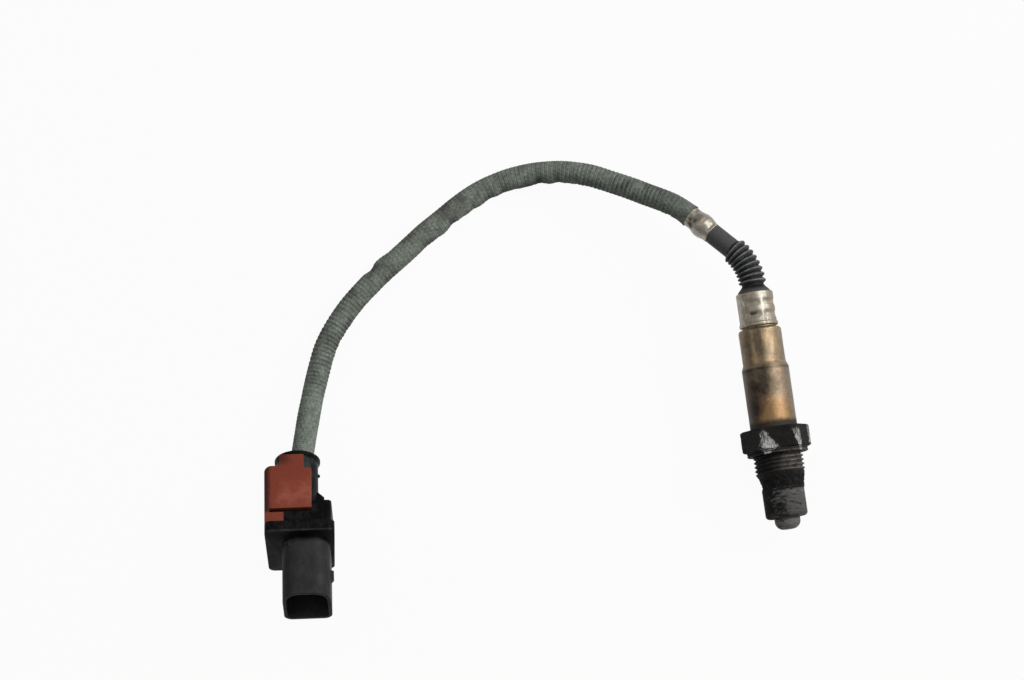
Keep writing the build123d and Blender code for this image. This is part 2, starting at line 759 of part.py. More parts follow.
def connector_housing():
    """Moulded housing: seal spigot, block with its lock rail, flange and hollow nose."""
    inside_cap = CAP_BORE / 2 - SNUG
    body = rod(2 * inside_cap, SPIGOT_START, CAP_LENGTH) + rod(
        CAP_DIAMETER, CAP_LENGTH, BLOCK_START + PAST
    )
    body += plate(
        BLOCK_LEFT,
        BLOCK_RIGHT,
        BLOCK_BOTTOM,
        BLOCK_TOP,
        BLOCK_START,
        FLANGE_START - BLOCK_START + PAST,
        BLOCK_ROUND,
    )
    web = make_face(
        Polyline(
            (0, WEB_START + SNUG),
            (CAP_DIAMETER / 2, WEB_START + SNUG),
            (WEB_REACH, WEB_START + WEB_SLANT),
            (WEB_REACH, BLOCK_START + PAST),
            (0, BLOCK_START + PAST),
            close=True,
        )
    )
    body += Pos(0, WEB_THICKNESS / 2, 0) * (Plane.XZ * extrude(web, WEB_THICKNESS))
    body += block(
        (BLOCK_LEFT, RAIL_INSIDE), (RAIL_BOTTOM, BLOCK_TOP), (RAIL_START, BLOCK_START + PAST)
    )
    flange = make_face(
        Polyline(
            (FLANGE_LEFT, FLANGE_BOTTOM),
            (FLANGE_RIGHT - FLANGE_DRAFT, FLANGE_BOTTOM),
            (FLANGE_RIGHT, FLANGE_TOP),
            (FLANGE_LEFT, FLANGE_TOP),
            close=True,
        )
    )
    flange = fillet(flange.vertices(), FLANGE_ROUND)
    body += Pos(0, 0, FLANGE_START) * extrude(flange, FLANGE_THICKNESS)
    body += Pos(0, 0, flange_front) * extrude(nose_section(0), NOSE_LENGTH)
    key_start = flange_front + KEY_FROM_FLANGE
    nose_right = NOSE_RIGHT_OF_AXIS + NOSE_WIDTH / 2
    key = make_face(
        Polyline(
            (nose_right - NOSE_WALL / 2, key_start),
            (nose_right + KEY_PROUD, key_start),
            (nose_right + KEY_PROUD, key_start + KEY_LENGTH - KEY_SLANT),
            (nose_right - SNUG, key_start + KEY_LENGTH),
            (nose_right - NOSE_WALL / 2, key_start + KEY_LENGTH),
            close=True,
        )
    )
    body += Pos(0, KEY_THICKNESS / 2, 0) * (Plane.XZ * extrude(key, KEY_THICKNESS))
    body -= Pos(0, 0, cavity_floor) * extrude(nose_section(NOSE_WALL), CAVITY_DEPTH + PAST)
    body -= rod(SEAL_DIAMETER + 2 * SNUG, SPIGOT_START - PAST, BLOCK_START + PAST)
    body -= chamber()
    hole_width, hole_thickness = PIN_WIDTH + 2 * SNUG, PIN_THICKNESS + 2 * SNUG
    for x, y in pin_places():
        body -= block(
            (x - hole_width / 2, x + hole_width / 2),
            (y - hole_thickness / 2, y + hole_thickness / 2),
            (chamber_front + PAST, cavity_floor + PAST),
        )
    return body


def connector_rear_cap():
    """Round cap behind the housing with a flared rim, where the cable goes in."""
    outer, rim, bore = CAP_DIAMETER / 2, RIM_DIAMETER / 2, CAP_BORE / 2
    cap = turned(
        [
            (bore, 0),
            (rim, 0),
            (rim, RIM_THICKNESS * 0.6),
            (outer, RIM_THICKNESS * 1.5),
            (outer, CAP_LENGTH),
            (bore, CAP_LENGTH),
        ]
    )
    nib = Pos(outer, 0, CAP_NIB_PLACE) * Sphere(CAP_NIB)
    return cap + (nib - rod(CAP_DIAMETER - 2 * CAP_NIB_SINK, 0, CAP_LENGTH))


def secondary_lock():
    """Slide over the connector's upper left corner, with a neck and a tab, pushed home."""
    bottom = BLOCK_TOP + SLIDE
    top = bottom + LOCK_THICKNESS
    back, front = LOCK_START, LOCK_START + LOCK_LENGTH
    tab_front = front + LOCK_TAB_GAP + LOCK_TAB_LENGTH
    outline = make_face(
        Polyline(
            (lock_left, back),
            (LOCK_NECK_RIGHT, back),
            (LOCK_NECK_RIGHT, back + LOCK_STEP),
            (LOCK_RIGHT, back + LOCK_STEP),
            (LOCK_RIGHT, front),
            (lock_left, front),
            close=True,
        )
    )
    corner = outline.vertices().sort_by_distance(Vector(lock_left, back))[0]
    outline = fillet(corner, LOCK_ROUND)
    top_plate = Pos(0, top, 0) * (Plane.XZ * extrude(outline, LOCK_THICKNESS))
    side = block(
        (lock_left, lock_left + LOCK_SIDE_WALL),
        (LOCK_SIDE_BOTTOM, top),
        (back + LOCK_ROUND, tab_front),
    )
    side -= block(
        (lock_left - SNUG, lock_left + LOCK_NOTCH_DEPTH),
        (LOCK_SIDE_BOTTOM, top - LOCK_NOTCH_BELOW_TOP),
        (back + LOCK_NOTCH_START, back + LOCK_NOTCH_START + LOCK_NOTCH_LENGTH),
    )
    tab = block((lock_left, LOCK_TAB_RIGHT), (bottom, top), (tab_front - LOCK_TAB_LENGTH, tab_front))
    neck = block(
        (LOCK_NECK_LEFT, LOCK_NECK_RIGHT),
        (bottom, bottom + LOCK_NECK_THICKNESS),
        (RIM_THICKNESS * 1.5 + SNUG, back + PAST),
    )
    return top_plate + side + tab + neck


def wire_seal():
    """Ribbed rubber seal round the leads in the housing's spigot."""
    radius = SEAL_DIAMETER / 2
    pitch = SEAL_LENGTH / SEAL_RIBS
    groove = radius - SEAL_RIB_HEIGHT
    outline = [(0, 0)]
    for i in range(SEAL_RIBS):
        low = pitch * i
        outline += [(groove, low), (radius, low + pitch / 4), (radius, low + pitch / 2)]
        outline += [(groove, low + pitch * 3 / 4)]
    outline += [(0, SEAL_LENGTH - pitch / 4)]
    return Pos(0, 0, SPIGOT_START + SNUG) * turned(outline)


def terminal_pins():
    """Six flat pins from the chamber into the nose, with tapered tips."""
    start, tip_start = chamber_front + PAST, mouth - PIN_SHORT_OF_MOUTH - PIN_TIP_LENGTH
    section = Rectangle(PIN_WIDTH, PIN_THICKNESS)
    pins = []
    for x, y in pin_places():
        shank = Pos(x, y, start) * extrude(section, tip_start - start)
        tip = Pos(x, y, tip_start) * extrude(section, PIN_TIP_LENGTH, taper=PIN_TIP_TAPER)
        pins.append(shank + tip)
    return pins


def pin_carrier():
    """Plate at the bottom of the nose's cavity that lines the pins up."""
    low = cavity_floor + SNUG
    slab = Pos(0, 0, low) * extrude(nose_section(NOSE_WALL + 2 * SNUG), CARRIER_THICKNESS)
    for x, y in pin_places():
        slab -= block(
            (x - PIN_WIDTH / 2 - SNUG, x + PIN_WIDTH / 2 + SNUG),
            (y - PIN_THICKNESS / 2 - SNUG, y + PIN_THICKNESS / 2 + SNUG),
            (low - PAST, low + CARRIER_THICKNESS + PAST),
        )
    return slab


def trim_resistor():
    """Small chip on the chamber's floor between two pins."""
    width, height, length = RESISTOR_SIZE
    floor = min(y for _, y in pin_places()) - PIN_WIDTH - 1
    return block(
        (NOSE_RIGHT_OF_AXIS - width / 2, NOSE_RIGHT_OF_AXIS + width / 2),
        (floor + SNUG, floor + SNUG + height),
        (chamber_back - length - SNUG, chamber_back - SNUG),
    )


def connector_frame():
    """The plane that stands the connector on its rim and the lower edge of its flange."""
    rim = RIM_DIAMETER / 2
    tilt = math.atan2(-FLANGE_BOTTOM - rim, FLANGE_START)
    yaw = math.radians(CONNECTOR_YAW)
    ahead = Vector(
        -math.sin(yaw) * math.cos(tilt), -math.cos(yaw) * math.cos(tilt), math.sin(tilt)
    )
    return Plane(
        origin=(CONNECTOR_X, CONNECTOR_Y, rim * math.cos(tilt)),
        x_dir=(math.cos(yaw), -math.sin(yaw), 0),
        z_dir=ahead,
    )


# --- Everything in its place ---


def sensor_pieces(sensor):
    """The sensor's own pieces by node name."""
    stack = {
        "metal_shell": metal_shell(),
        "sealing_ring": sealing_ring(),
        "outer_protection_tube": outer_protection_tube(),
        "inner_protection_tube": inner_protection_tube(),
        "sensing_element": sensing_element(),
        "front_bush": bush(bush_front, powder_front),
        "powder_seal": bush(powder_front, powder_back),
        "rear_bush": bush(powder_back, boss_back - BOSS_LIP - SNUG),
        "housing_sleeve": housing_sleeve(),
        "contact_holder_upper": contact_holder(1),
        "contact_holder_lower": contact_holder(-1),
        "holder_clamp": holder_clamp(),
        "contact_springs": contact_springs(),
        "grommet": grommet(),
        "crimp_collar": crimp_collar(),
    }
    return placed(stack, sensor)


def connector_pieces(connector):
    """The connector's pieces by node name."""
    stack = {
        "connector_housing": connector_housing(),
        "connector_rear_cap": connector_rear_cap(),
        "secondary_lock": secondary_lock(),
        "wire_seal": wire_seal(),
        "terminal_pins": terminal_pins(),
        "pin_carrier": pin_carrier(),
        "trim_resistor": trim_resistor(),
    }
    return placed(stack, connector)


def placed(stack, frame):
    """Move each piece, or each of a list of pieces, from its own frame to its place."""
    moved = {}
    for name, piece in stack.items():
        solids = piece if isinstance(piece, list) else [piece]
        moved[name] = [frame.location * solid for solid in solids]
    return moved


def cable_pieces(sensor, bend, connector):
    """The boot, ferrule, sleeve and leads, and the route that they share."""
    boot_end = bend.plane(1)
    ahead = boot_end.z_dir
    ferrule_place = Plane(origin=boot_end.origin + ahead * BOOT_TUBE_LENGTH, z_dir=ahead)
    cable_start = ferrule_place.origin + ahead * FERRULE_LENGTH
    cable_end = connector.from_local_coords(Vector(CABLE_END_OFFSET, 0, CABLE_END_DEPTH))
    route = [cable_start, cable_start + ahead * CABLE_FIRST_RUN]
    route += [Vector(*point) for point in CABLE_POINTS] + [cable_end]
    radii = corner_radii(route)
    section = Circle(CABLE_DIAMETER / 2) - Circle(CABLE_DIAMETER / 2 - CABLE_WALL)
    sleeve = swept(section, route, radii)

    lead_start = sensor.origin + sensor.z_dir * (barrel_front + CONTACT_TAIL)
    last = (route[-1] - route[-2]).normalized()
    lead_route = [lead_start, bend.corner] + route[1:-1] + [route[-1] + last * LEADS_PAST_CABLE]
    lead_radii = [BELLOWS_BEND_RADIUS] + radii
    start = Plane(origin=lead_start, x_dir=(1, 0, 0), z_dir=sensor.z_dir)
    path = FilletPolyline(*lead_route, radius=lead_radii)
    leads = [
        sweep(start * (Pos(lead.X, lead.Y) * Circle(LEAD_DIAMETER / 2)), path=path)
        for lead in lead_places()
    ]
    report_route(route, radii, section.area, sleeve.volume)
    return {
        "bellows_boot": [bellows_boot(sensor, bend)],
        "boot_ferrule": [ferrule_place.location * boot_ferrule()],
        "cable_sleeve": [sleeve],
        "lead_wires": leads,
    }


def report_route(route, radii, area, volume):
    """Print the route's points, arcs and length."""
    for point in route:
        print(f"route {point.X:8.2f} {point.Y:8.2f} {point.Z:6.2f}")
    print("arc radii", [round(radius, 1) for radius in radii])
    length = FilletPolyline(*route, radius=radii).length
    print(f"cable length {length:.1f}, volume {volume:.1f} against {area * length:.1f}")


def main():
    """Build every piece and write one STEP file for each node."""
    os.makedirs("parts", exist_ok=True)
    sensor = sensor_frame()
    bend = BootBend(sensor)
    connector = connector_frame()
    nodes = sensor_pieces(sensor)
    nodes.update(cable_pieces(sensor, bend, connector))
    nodes.update(connector_pieces(connector))
    for name, pieces in nodes.items():
        solids = [solid for piece in pieces for solid in piece.solids()]
        shape = solids[0] if len(solids) == 1 else Compound(solids)
        export_step(shape, f"parts/{name}.step")
        print(f"{name}: {len(solids)} solids, {sum(s.volume for s in solids):.1f} mm3")


main()
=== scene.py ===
"""Oxygen sensor with its sleeved cable and connector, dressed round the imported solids."""
import json
import logging
import math
from collections.abc import Callable, Sequence
from dataclasses import dataclass
from enum import Enum

import bmesh
import bpy
from mathutils import Matrix, Vector, noise

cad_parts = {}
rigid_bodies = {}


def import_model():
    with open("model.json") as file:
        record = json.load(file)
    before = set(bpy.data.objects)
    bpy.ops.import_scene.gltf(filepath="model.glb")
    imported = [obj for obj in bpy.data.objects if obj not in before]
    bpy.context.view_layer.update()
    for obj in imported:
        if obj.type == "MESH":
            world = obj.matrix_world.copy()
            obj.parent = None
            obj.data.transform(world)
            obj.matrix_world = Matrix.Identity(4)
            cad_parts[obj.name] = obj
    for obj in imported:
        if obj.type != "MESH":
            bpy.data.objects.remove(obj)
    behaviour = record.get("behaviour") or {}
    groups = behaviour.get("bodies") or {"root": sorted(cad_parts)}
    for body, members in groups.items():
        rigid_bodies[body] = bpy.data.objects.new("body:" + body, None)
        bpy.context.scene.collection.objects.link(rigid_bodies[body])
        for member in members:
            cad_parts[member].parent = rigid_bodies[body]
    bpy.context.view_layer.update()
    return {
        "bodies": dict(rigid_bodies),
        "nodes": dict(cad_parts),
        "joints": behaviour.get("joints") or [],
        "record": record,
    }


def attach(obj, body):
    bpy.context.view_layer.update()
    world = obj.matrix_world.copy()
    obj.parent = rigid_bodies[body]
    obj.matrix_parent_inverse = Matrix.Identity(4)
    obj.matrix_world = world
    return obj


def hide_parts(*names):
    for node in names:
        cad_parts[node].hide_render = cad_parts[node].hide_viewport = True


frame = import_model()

MM = 0.001
ROOT = "root"
# Stations along the sensor, in millimetres from its tip, that more than one class reads.
HEX_BACK = 36.2
CONE_FRONT = 58.0
COLLAR_BACK = 85.4
# Millimetres of sleeve that one unit of the braid's map stands for.
BRAID_MAP = 100.0
log = logging.getLogger("oxygen_sensor")

Socket = bpy.types.NodeSocket
Point = tuple[float, float]
Triple = tuple[float, float, float]
Colour = Triple
Paint = Colour | Socket
Shape = Callable[[float, float, float], float]


# --- Node graphs ---


class Value:
    """One output socket that takes part in arithmetic and adds the Math nodes for it."""

    def __init__(self, graph: "Graph", socket: Socket) -> None:
        """Keep the graph and the socket."""
        self.graph = graph
        self.socket = socket

    def _join(self, operation: str, other: "Value | float", flipped: bool = False) -> "Value":
        """Combine this value with another.

        Args:
            operation: The Math node's operation.
            other: The second number or value.
            flipped: Whether the other comes first.

        Returns:
            The new value.
        """
        pair = (other, self) if flipped else (self, other)
        return self.graph.math(operation, *pair)

    def __add__(self, other: "Value | float") -> "Value":
        """self + other."""
        return self._join("ADD", other)

    def __radd__(self, other: float) -> "Value":
        """other + self."""
        return self._join("ADD", other, True)

    def __sub__(self, other: "Value | float") -> "Value":
        """self - other."""
        return self._join("SUBTRACT", other)

    def __rsub__(self, other: float) -> "Value":
        """other - self."""
        return self._join("SUBTRACT", other, True)

    def __mul__(self, other: "Value | float") -> "Value":
        """self * other."""
        return self._join("MULTIPLY", other)

    def __rmul__(self, other: float) -> "Value":
        """other * self."""
        return self._join("MULTIPLY", other, True)

    def __truediv__(self, other: "Value | float") -> "Value":
        """self / other."""
        return self._join("DIVIDE", other)

    def __rtruediv__(self, other: float) -> "Value":
        """other / self."""
        return self._join("DIVIDE", other, True)

    def __pow__(self, other: "Value | float") -> "Value":
        """self ** other."""
        return self._join("POWER", other)

    def __rpow__(self, other: float) -> "Value":
        """other ** self."""
        return self._join("POWER", other, True)

    def __abs__(self) -> "Value":
        """The size without its sign."""
        return self.graph.math("ABSOLUTE", self)


class Graph:
    """A node tree and the few calls that every tree here is built with."""

    def __init__(self, tree: bpy.types.NodeTree) -> None:
        """Start from an empty tree."""
        self.tree = tree
        tree.nodes.clear()

    def node(
        self, kind: str, settings: dict | None = None, inputs: dict | None = None
    ) -> bpy.types.Node:
        """Add one node.

        Args:
            kind: The node's type.
            settings: Its properties, set first.
            inputs: Socket name or number to a value, a colour or another node's output.

        Returns:
            The node.
        """
        made = self.tree.nodes.new(kind)
        for name, value in (settings or {}).items():
            setattr(made, name, value)
        for name, value in (inputs or {}).items():
            self.feed(made.inputs[name], value)
        return made

    def feed(self, socket: Socket, value: object) -> None:
        """Link a value to a socket, or set the socket.

        Args:
            socket: The input that is fed.
            value: A value, another node's output, a colour, or what else the input takes.
        """
        if isinstance(value, Value):
            self.tree.links.new(value.socket, socket)
        elif isinstance(value, Socket):
            self.tree.links.new(value, socket)
        elif socket.type == "RGBA" and len(value) == 3:
            socket.default_value = (*value, 1)
        else:
            socket.default_value = value

    def math(self, operation: str, *terms: "Value | float") -> Value:
        """A Math node on one to three terms."""
        made = self.node("ShaderNodeMath", {"operation": operation}, dict(enumerate(terms)))
        return Value(self, made.outputs[0])

    def limit(self, value: Value, low: float = 0.0, high: float = 1.0) -> Value:
        """Hold a value between two numbers."""
        return self.math("MINIMUM", self.math("MAXIMUM", value, low), high)

    def split(self, vector: Socket) -> tuple[Value, Value, Value]:
        """A vector's three parts."""
        made = self.node("ShaderNodeSeparateXYZ", inputs={0: vector})
        return tuple(Value(self, out) for out in made.outputs)

    def rise(self, value: Value, start: float, end: float) -> Value:
        """Go smoothly from 0 to 1.

        Args:
            value: What the step is read from.
            start: Where it gives 0, above or below the end.
            end: Where it gives 1.

        Returns:
            The step's value.
        """
        settings = {"interpolation_type": "SMOOTHSTEP"}
        low, high, zero, one = (start, end, 0.0, 1.0) if start < end else (end, start, 1.0, 0.0)
        numbers = {"Value": value, "From Min": low, "From Max": high, 3: zero, 4: one}
        return Value(self, self.node("ShaderNodeMapRange", settings, numbers).outputs[0])

    def band(self, value: Value, low: float, high: float, soft: float) -> Value:
        """1 between low and high, with soft edges."""
        rising = self.rise(value, low - soft, low + soft)
        return rising * self.rise(value, high + soft, high - soft)

    def noise(self, at: Socket, scale: float, detail: float, rough: float = 0.55) -> Value:
        """Fractal noise about 0.5."""
        numbers = {"Vector": at, "Scale": scale, "Detail": detail, "Roughness": rough}
        return Value(self, self.node("ShaderNodeTexNoise", inputs=numbers).outputs[0])


class ShaderGraph(Graph):
    """A material's nodes."""

    def __init__(self, name: str) -> None:
        """Make the material, its shader and its output.

        Args:
            name: The material's name.
        """
        self.material = bpy.data.materials.new(name)
        self.material.use_nodes = True
        super().__init__(self.material.node_tree)
        self.shader = self.node("ShaderNodeBsdfPrincipled")
        surface = {"Surface": self.shader.outputs[0]}
        self.output = self.node("ShaderNodeOutputMaterial", inputs=surface)

    def surface(self, **sockets: object) -> None:
        """Set or link the shader's sockets, with _ for a space."""
        for name, value in sockets.items():
            self.feed(self.shader.inputs[name.replace("_", " ")], value)

    def mix(
        self, factor: Value | float, first: Paint, second: Paint, blend: str = "MIX"
    ) -> Socket:
        """Mix two colours.

        Args:
            factor: The second colour's share.
            first: A colour or output.
            second: A colour or output.
            blend: The Mix node's blend type.

        Returns:
            The mixed colour's output.
        """
        settings = {"data_type": "RGBA", "blend_type": blend}
        return self.node("ShaderNodeMix", settings, {0: factor, 6: first, 7: second}).outputs[2]

    def layers(self, base: Paint, *coats: tuple[Value | float, Paint]) -> Socket:
        """Lay colours over a base, each through its own mask.

        Args:
            base: The lowest colour.
            coats: The masks and their colours, from below.

        Returns:
            The uppermost mix's output.
        """
        for mask, colour in coats:
            base = self.mix(mask, base, colour)
        return base

    def shaded(self, colour: Paint, shade: Value) -> Socket:
        """A colour times a grey level."""
        grey = self.node("ShaderNodeCombineColor", inputs={0: shade, 1: shade, 2: shade})
        return self.mix(1.0, colour, grey.outputs[0], "MULTIPLY")

    def attribute(self, name: str) -> Value:
        """The number that the mesh carries under a name."""
        return Value(self, self.node("ShaderNodeAttribute", {"attribute_name": name}).outputs[2])

    def place(self, stand: "Stand | None" = None, stretch: Triple = (1, 1, 1)) -> Socket:
        """Coordinates in millimetres.

        Args:
            stand: The stand whose own axes are used, or none for the row frame.
            stretch: Millimetres per unit along each axis.

        Returns:
            The vector's output.
        """
        texture = self.node("ShaderNodeTexCoord").outputs["Object"]
        inputs = {"Vector": texture, "Scale": tuple(MM * s for s in stretch)}
        if stand:
            inputs["Location"] = tuple(stand.matrix.to_translation())
            inputs["Rotation"] = tuple(stand.matrix.to_3x3().normalized().to_euler())
        return self.node("ShaderNodeMapping", {"vector_type": "TEXTURE"}, inputs).outputs[0]

    def relief(self, height: Value, depth: float, strength: float) -> Socket:
        """A Bump node's normal.

        Args:
            height: The height, 0 to 1.
            depth: What 1 stands for, in millimetres.
            strength: The bump's strength.

        Returns:
            The normal's output.
        """
        inputs = {"Height": height, "Distance": depth * MM, "Strength": strength}
        return self.node("ShaderNodeBump", inputs=inputs).outputs[0]


# --- Where pieces stand ---


@dataclass(frozen=True)
class Stand:
    """A piece's own axes in the row frame: its origin in millimetres, Z along it and X across."""

    origin: Triple
    ahead: Triple
    across: Triple

    @property
    def matrix(self) -> Matrix:
        """How the piece's own axes lie in the row frame.

        Returns:
            The matrix from the piece's millimetres to the row frame's metres.
        """
        ahead, across = Vector(self.ahead).normalized(), Vector(self.across)
        across = (across - ahead * across.dot(ahead)).normalized()
        turn = Matrix((across, ahead.cross(across), ahead)).transposed()
        return Matrix.Translation(Vector(self.origin) * MM) @ turn.to_4x4() @ Matrix.Scale(MM, 4)


SENSOR = Stand((0.0, -42.42904, 6.61356), (0.0, 0.98771, 0.156296), (1.0, 0.0, 0.0))
CONNECTOR = Stand(
    (-170.3, 6.1, 7.84456), (-0.097269, -0.957597, 0.2712), (0.994881, -0.101056, 0.0)
)


# --- Finishes ---


@dataclass(frozen=True)
class Finish:
    """A named surface; each kind paints its own nodes.

    A pair of numbers in a finish is the stretch, in millimetres along or across its piece, over
    which something comes in or goes.
    """

    name: str

    def paint(self, graph: ShaderGraph) -> None:
        """Add the finish's nodes to a material's graph."""
        raise NotImplementedError

    def material(self) -> bpy.types.Material:
        """Make the material, or find it where it is already made.

        Returns:
            The material.
        """
        name = "look_" + self.name
        made = bpy.data.materials.get(name)
        if made is None:
            graph = ShaderGraph(name)
            self.paint(graph)
            made = graph.material
        return made


@dataclass(frozen=True)
class PlainFinish(Finish):
    """A quiet surface for pieces inside: a mottled colour with a fine grain."""

    colour: Colour = (0.5, 0.5, 0.5)
    metallic: float = 0.0
    roughness: float = 0.5
    grain: float = 0.8

    def paint(self, graph: ShaderGraph) -> None:
        """Mottle the colour and roughen it with a fine grain.

        Args:
            graph: The material's graph.
        """
        at = graph.place()
        mottle = graph.noise(at, 0.35, 4.0)
        fine = graph.noise(at, 1 / self.grain, 5.0, 0.65)
        dark = tuple(0.62 * part for part in self.colour)
        colour = graph.mix(graph.rise(mottle, 0.35, 0.65), dark, self.colour)
        graph.surface(
            Base_Color=colour,
            Metallic=self.metallic,
            Roughness=graph.limit(self.roughness - 0.12 + 0.24 * fine),
            Normal=graph.relief(fine, 0.05, 0.5),
        )


@dataclass(frozen=True)
class SootedSteel(Finish):
    """The protection tubes: crusted soot, cracked across, rubbed to grey, with rusty rims."""

    soot: Colour = (0.0065, 0.006, 0.0055)
    rubbed: Colour = (0.085, 0.083, 0.08)
    pale: Colour = (0.17, 0.165, 0.155)
    rust: Colour = (0.07, 0.048, 0.036)
    bare: float = 0.0
    # Across the tube, where the painted light on its right side comes in.
    sides: Point = (-6.5, 5.5)
    flecked: Point = (10.4, 14.2)
    rim: Point = (4.9, 5.6)

    def paint(self, graph: ShaderGraph) -> None:
        """Crust the soot, rub it off in places, lighten it towards the right as painted light,
        and mark the rim.

        Args:
            graph: The material's graph.
        """
        at = graph.place(SENSOR)
        clouds = graph.noise(at, 0.34, 6.0, 0.62)
        cracks = graph.noise(graph.place(SENSOR, (2.4, 2.4, 0.75)), 0.9, 6.0, 0.7)
        fine = graph.noise(at, 2.3, 6.0, 0.72)
        x, _, station = graph.split(at)
        # Painted light: the rubbed grey is pushed up towards the right, the side that the key
        # lamp lights.
        painted_light_right = graph.rise(x, *self.sides)
        level = 0.35 * clouds + 0.65 * cracks + 0.17 * painted_light_right + self.bare
        pits = graph.rise(0.5 * cracks + 0.5 * fine, 0.47, 0.4)
        rubbed = graph.rise(level, 0.5, 0.64) * (1 - 0.85 * pits)
        high = graph.band(station, *self.flecked, 1.0) * graph.rise(x, -2.0, 2.5)
        flecks = high * graph.rise(cracks + 0.35 * fine, 0.68, 0.84)
        rim = graph.band(station + 2.4 * (cracks - 0.5), *self.rim, 0.4)
        rim = rim * graph.rise(fine, 0.4, 0.6)
        colour = graph.layers(
            self.soot,
            (rubbed, self.rubbed),
            (flecks * 0.75, self.pale),
            (rim * 0.7, self.rust),
        )
        graph.surface(
            Base_Color=colour,
            Metallic=0.15,
            Specular_IOR_Level=0.2,
            Roughness=graph.limit(0.86 - 0.2 * rubbed),
            Normal=graph.relief(0.35 * clouds + 0.4 * cracks + 0.25 * fine, 1.6, 0.9),
        )


@dataclass(frozen=True)
class Scrape:
    """A wedge that a wrench scraped bright: where it starts and ends, and how wide it is."""

    start: Point
    end: Point
    start_width: float
    end_width: float


@dataclass(frozen=True)
class BurntSteel(Finish):
    """Thread, ring and hexagon: baked black scale, brown in the thread, scraped bright."""

    scale: Colour = (0.009, 0.008, 0.0075)
    grey: Colour = (0.042, 0.038, 0.036)
    brown: Colour = (0.095, 0.083, 0.075)
    # The painted highlight's colour on the thread's crests.
    crest: Colour = (0.24, 0.225, 0.21)
    bright: Colour = (0.5, 0.5, 0.49)
    thread: Point = (20.6, 28.0)
    scrapes: Sequence[Scrape] = ()

    def paint(self, graph: ShaderGraph) -> None:
        """Scale everywhere, brown on the thread's right half, a painted highlight on its crests
        towards the right, and the wrench's scrapes.

        Args:
            graph: The material's graph.
        """
        at = graph.place(SENSOR)
        x, _, station = graph.split(at)
        clouds = graph.noise(at, 0.4, 6.0, 0.62)
        fine = graph.noise(at, 2.2, 6.0, 0.72)
        grit = clouds * 0.5 + fine * 0.5
        thread = graph.band(station, *self.thread, 0.5) * graph.rise(x, -6.0, 4.0)
        crest = graph.attribute("crest")
        # Painted highlight: the thread's crests are lightened towards the right, where the key
        # lamp catches them.
        light = graph.rise(crest, 0.6, 0.95) * graph.rise(x, -1.0, 4.5)
        mark = self._scrapes(graph, at)
        colour = graph.layers(
            self.scale,
            (graph.rise(grit, 0.5, 0.68) * 0.85, self.grey),
            (thread * graph.rise(grit, 0.36, 0.56), self.brown),
            (light * graph.rise(grit, 0.4, 0.6) * 0.8, self.crest),
            (mark, self.bright),
        )
        graph.surface(
            Base_Color=colour,
            Metallic=graph.limit(0.2 + 0.5 * mark),
            Specular_IOR_Level=0.18,
            Roughness=graph.limit(0.74 - 0.3 * mark),
            Normal=graph.relief(grit, 1.0, 0.85),
        )

    def _scrapes(self, graph: ShaderGraph, at: Socket) -> Value:
        """The scrapes' mask, broken up into strokes.

        Args:
            graph: The material's graph.
            at: Coordinates along the sensor.

        Returns:
            The mask.
        """
        x, height, station = graph.split(at)
        strokes = graph.noise(graph.place(SENSOR, (0.5, 0.8, 2.4)), 1.1, 6.0, 0.75)
        ragged = graph.noise(at, 1.5, 4.0, 0.65)
        total: Value | float = 0.0
        for scrape in self.scrapes:
            (x0, s0), (x1, s1) = scrape.start, scrape.end
            share = (station - s0) / (s1 - s0)
            off = abs(x - (x0 + (x1 - x0) * share))
            width = scrape.start_width + (scrape.end_width - scrape.start_width) * share
            across = graph.rise(off / width + 2.2 * (ragged - 0.5), 1.1, 0.75)
            along = graph.band(share + 0.5 * (ragged - 0.5), 0.0, 1.0, 0.08)
            keen = graph.rise(strokes + 0.14 * share, 0.45, 0.68)
            patch = across * along * (0.1 + 0.9 * keen)
            total = graph.math("MAXIMUM", patch, total)
        above = graph.math("MAXIMUM", graph.rise(height, -2.0, -5.0), graph.rise(x, 10.5, 11.5))
        return graph.limit(total * above)


@dataclass(frozen=True)
class Smear:
    """A dark smear: its middle, its half sizes, how far it leans and how strong it is."""

    middle: Point
    half_width: float
    half_length: float
    lean: float
    weight: float


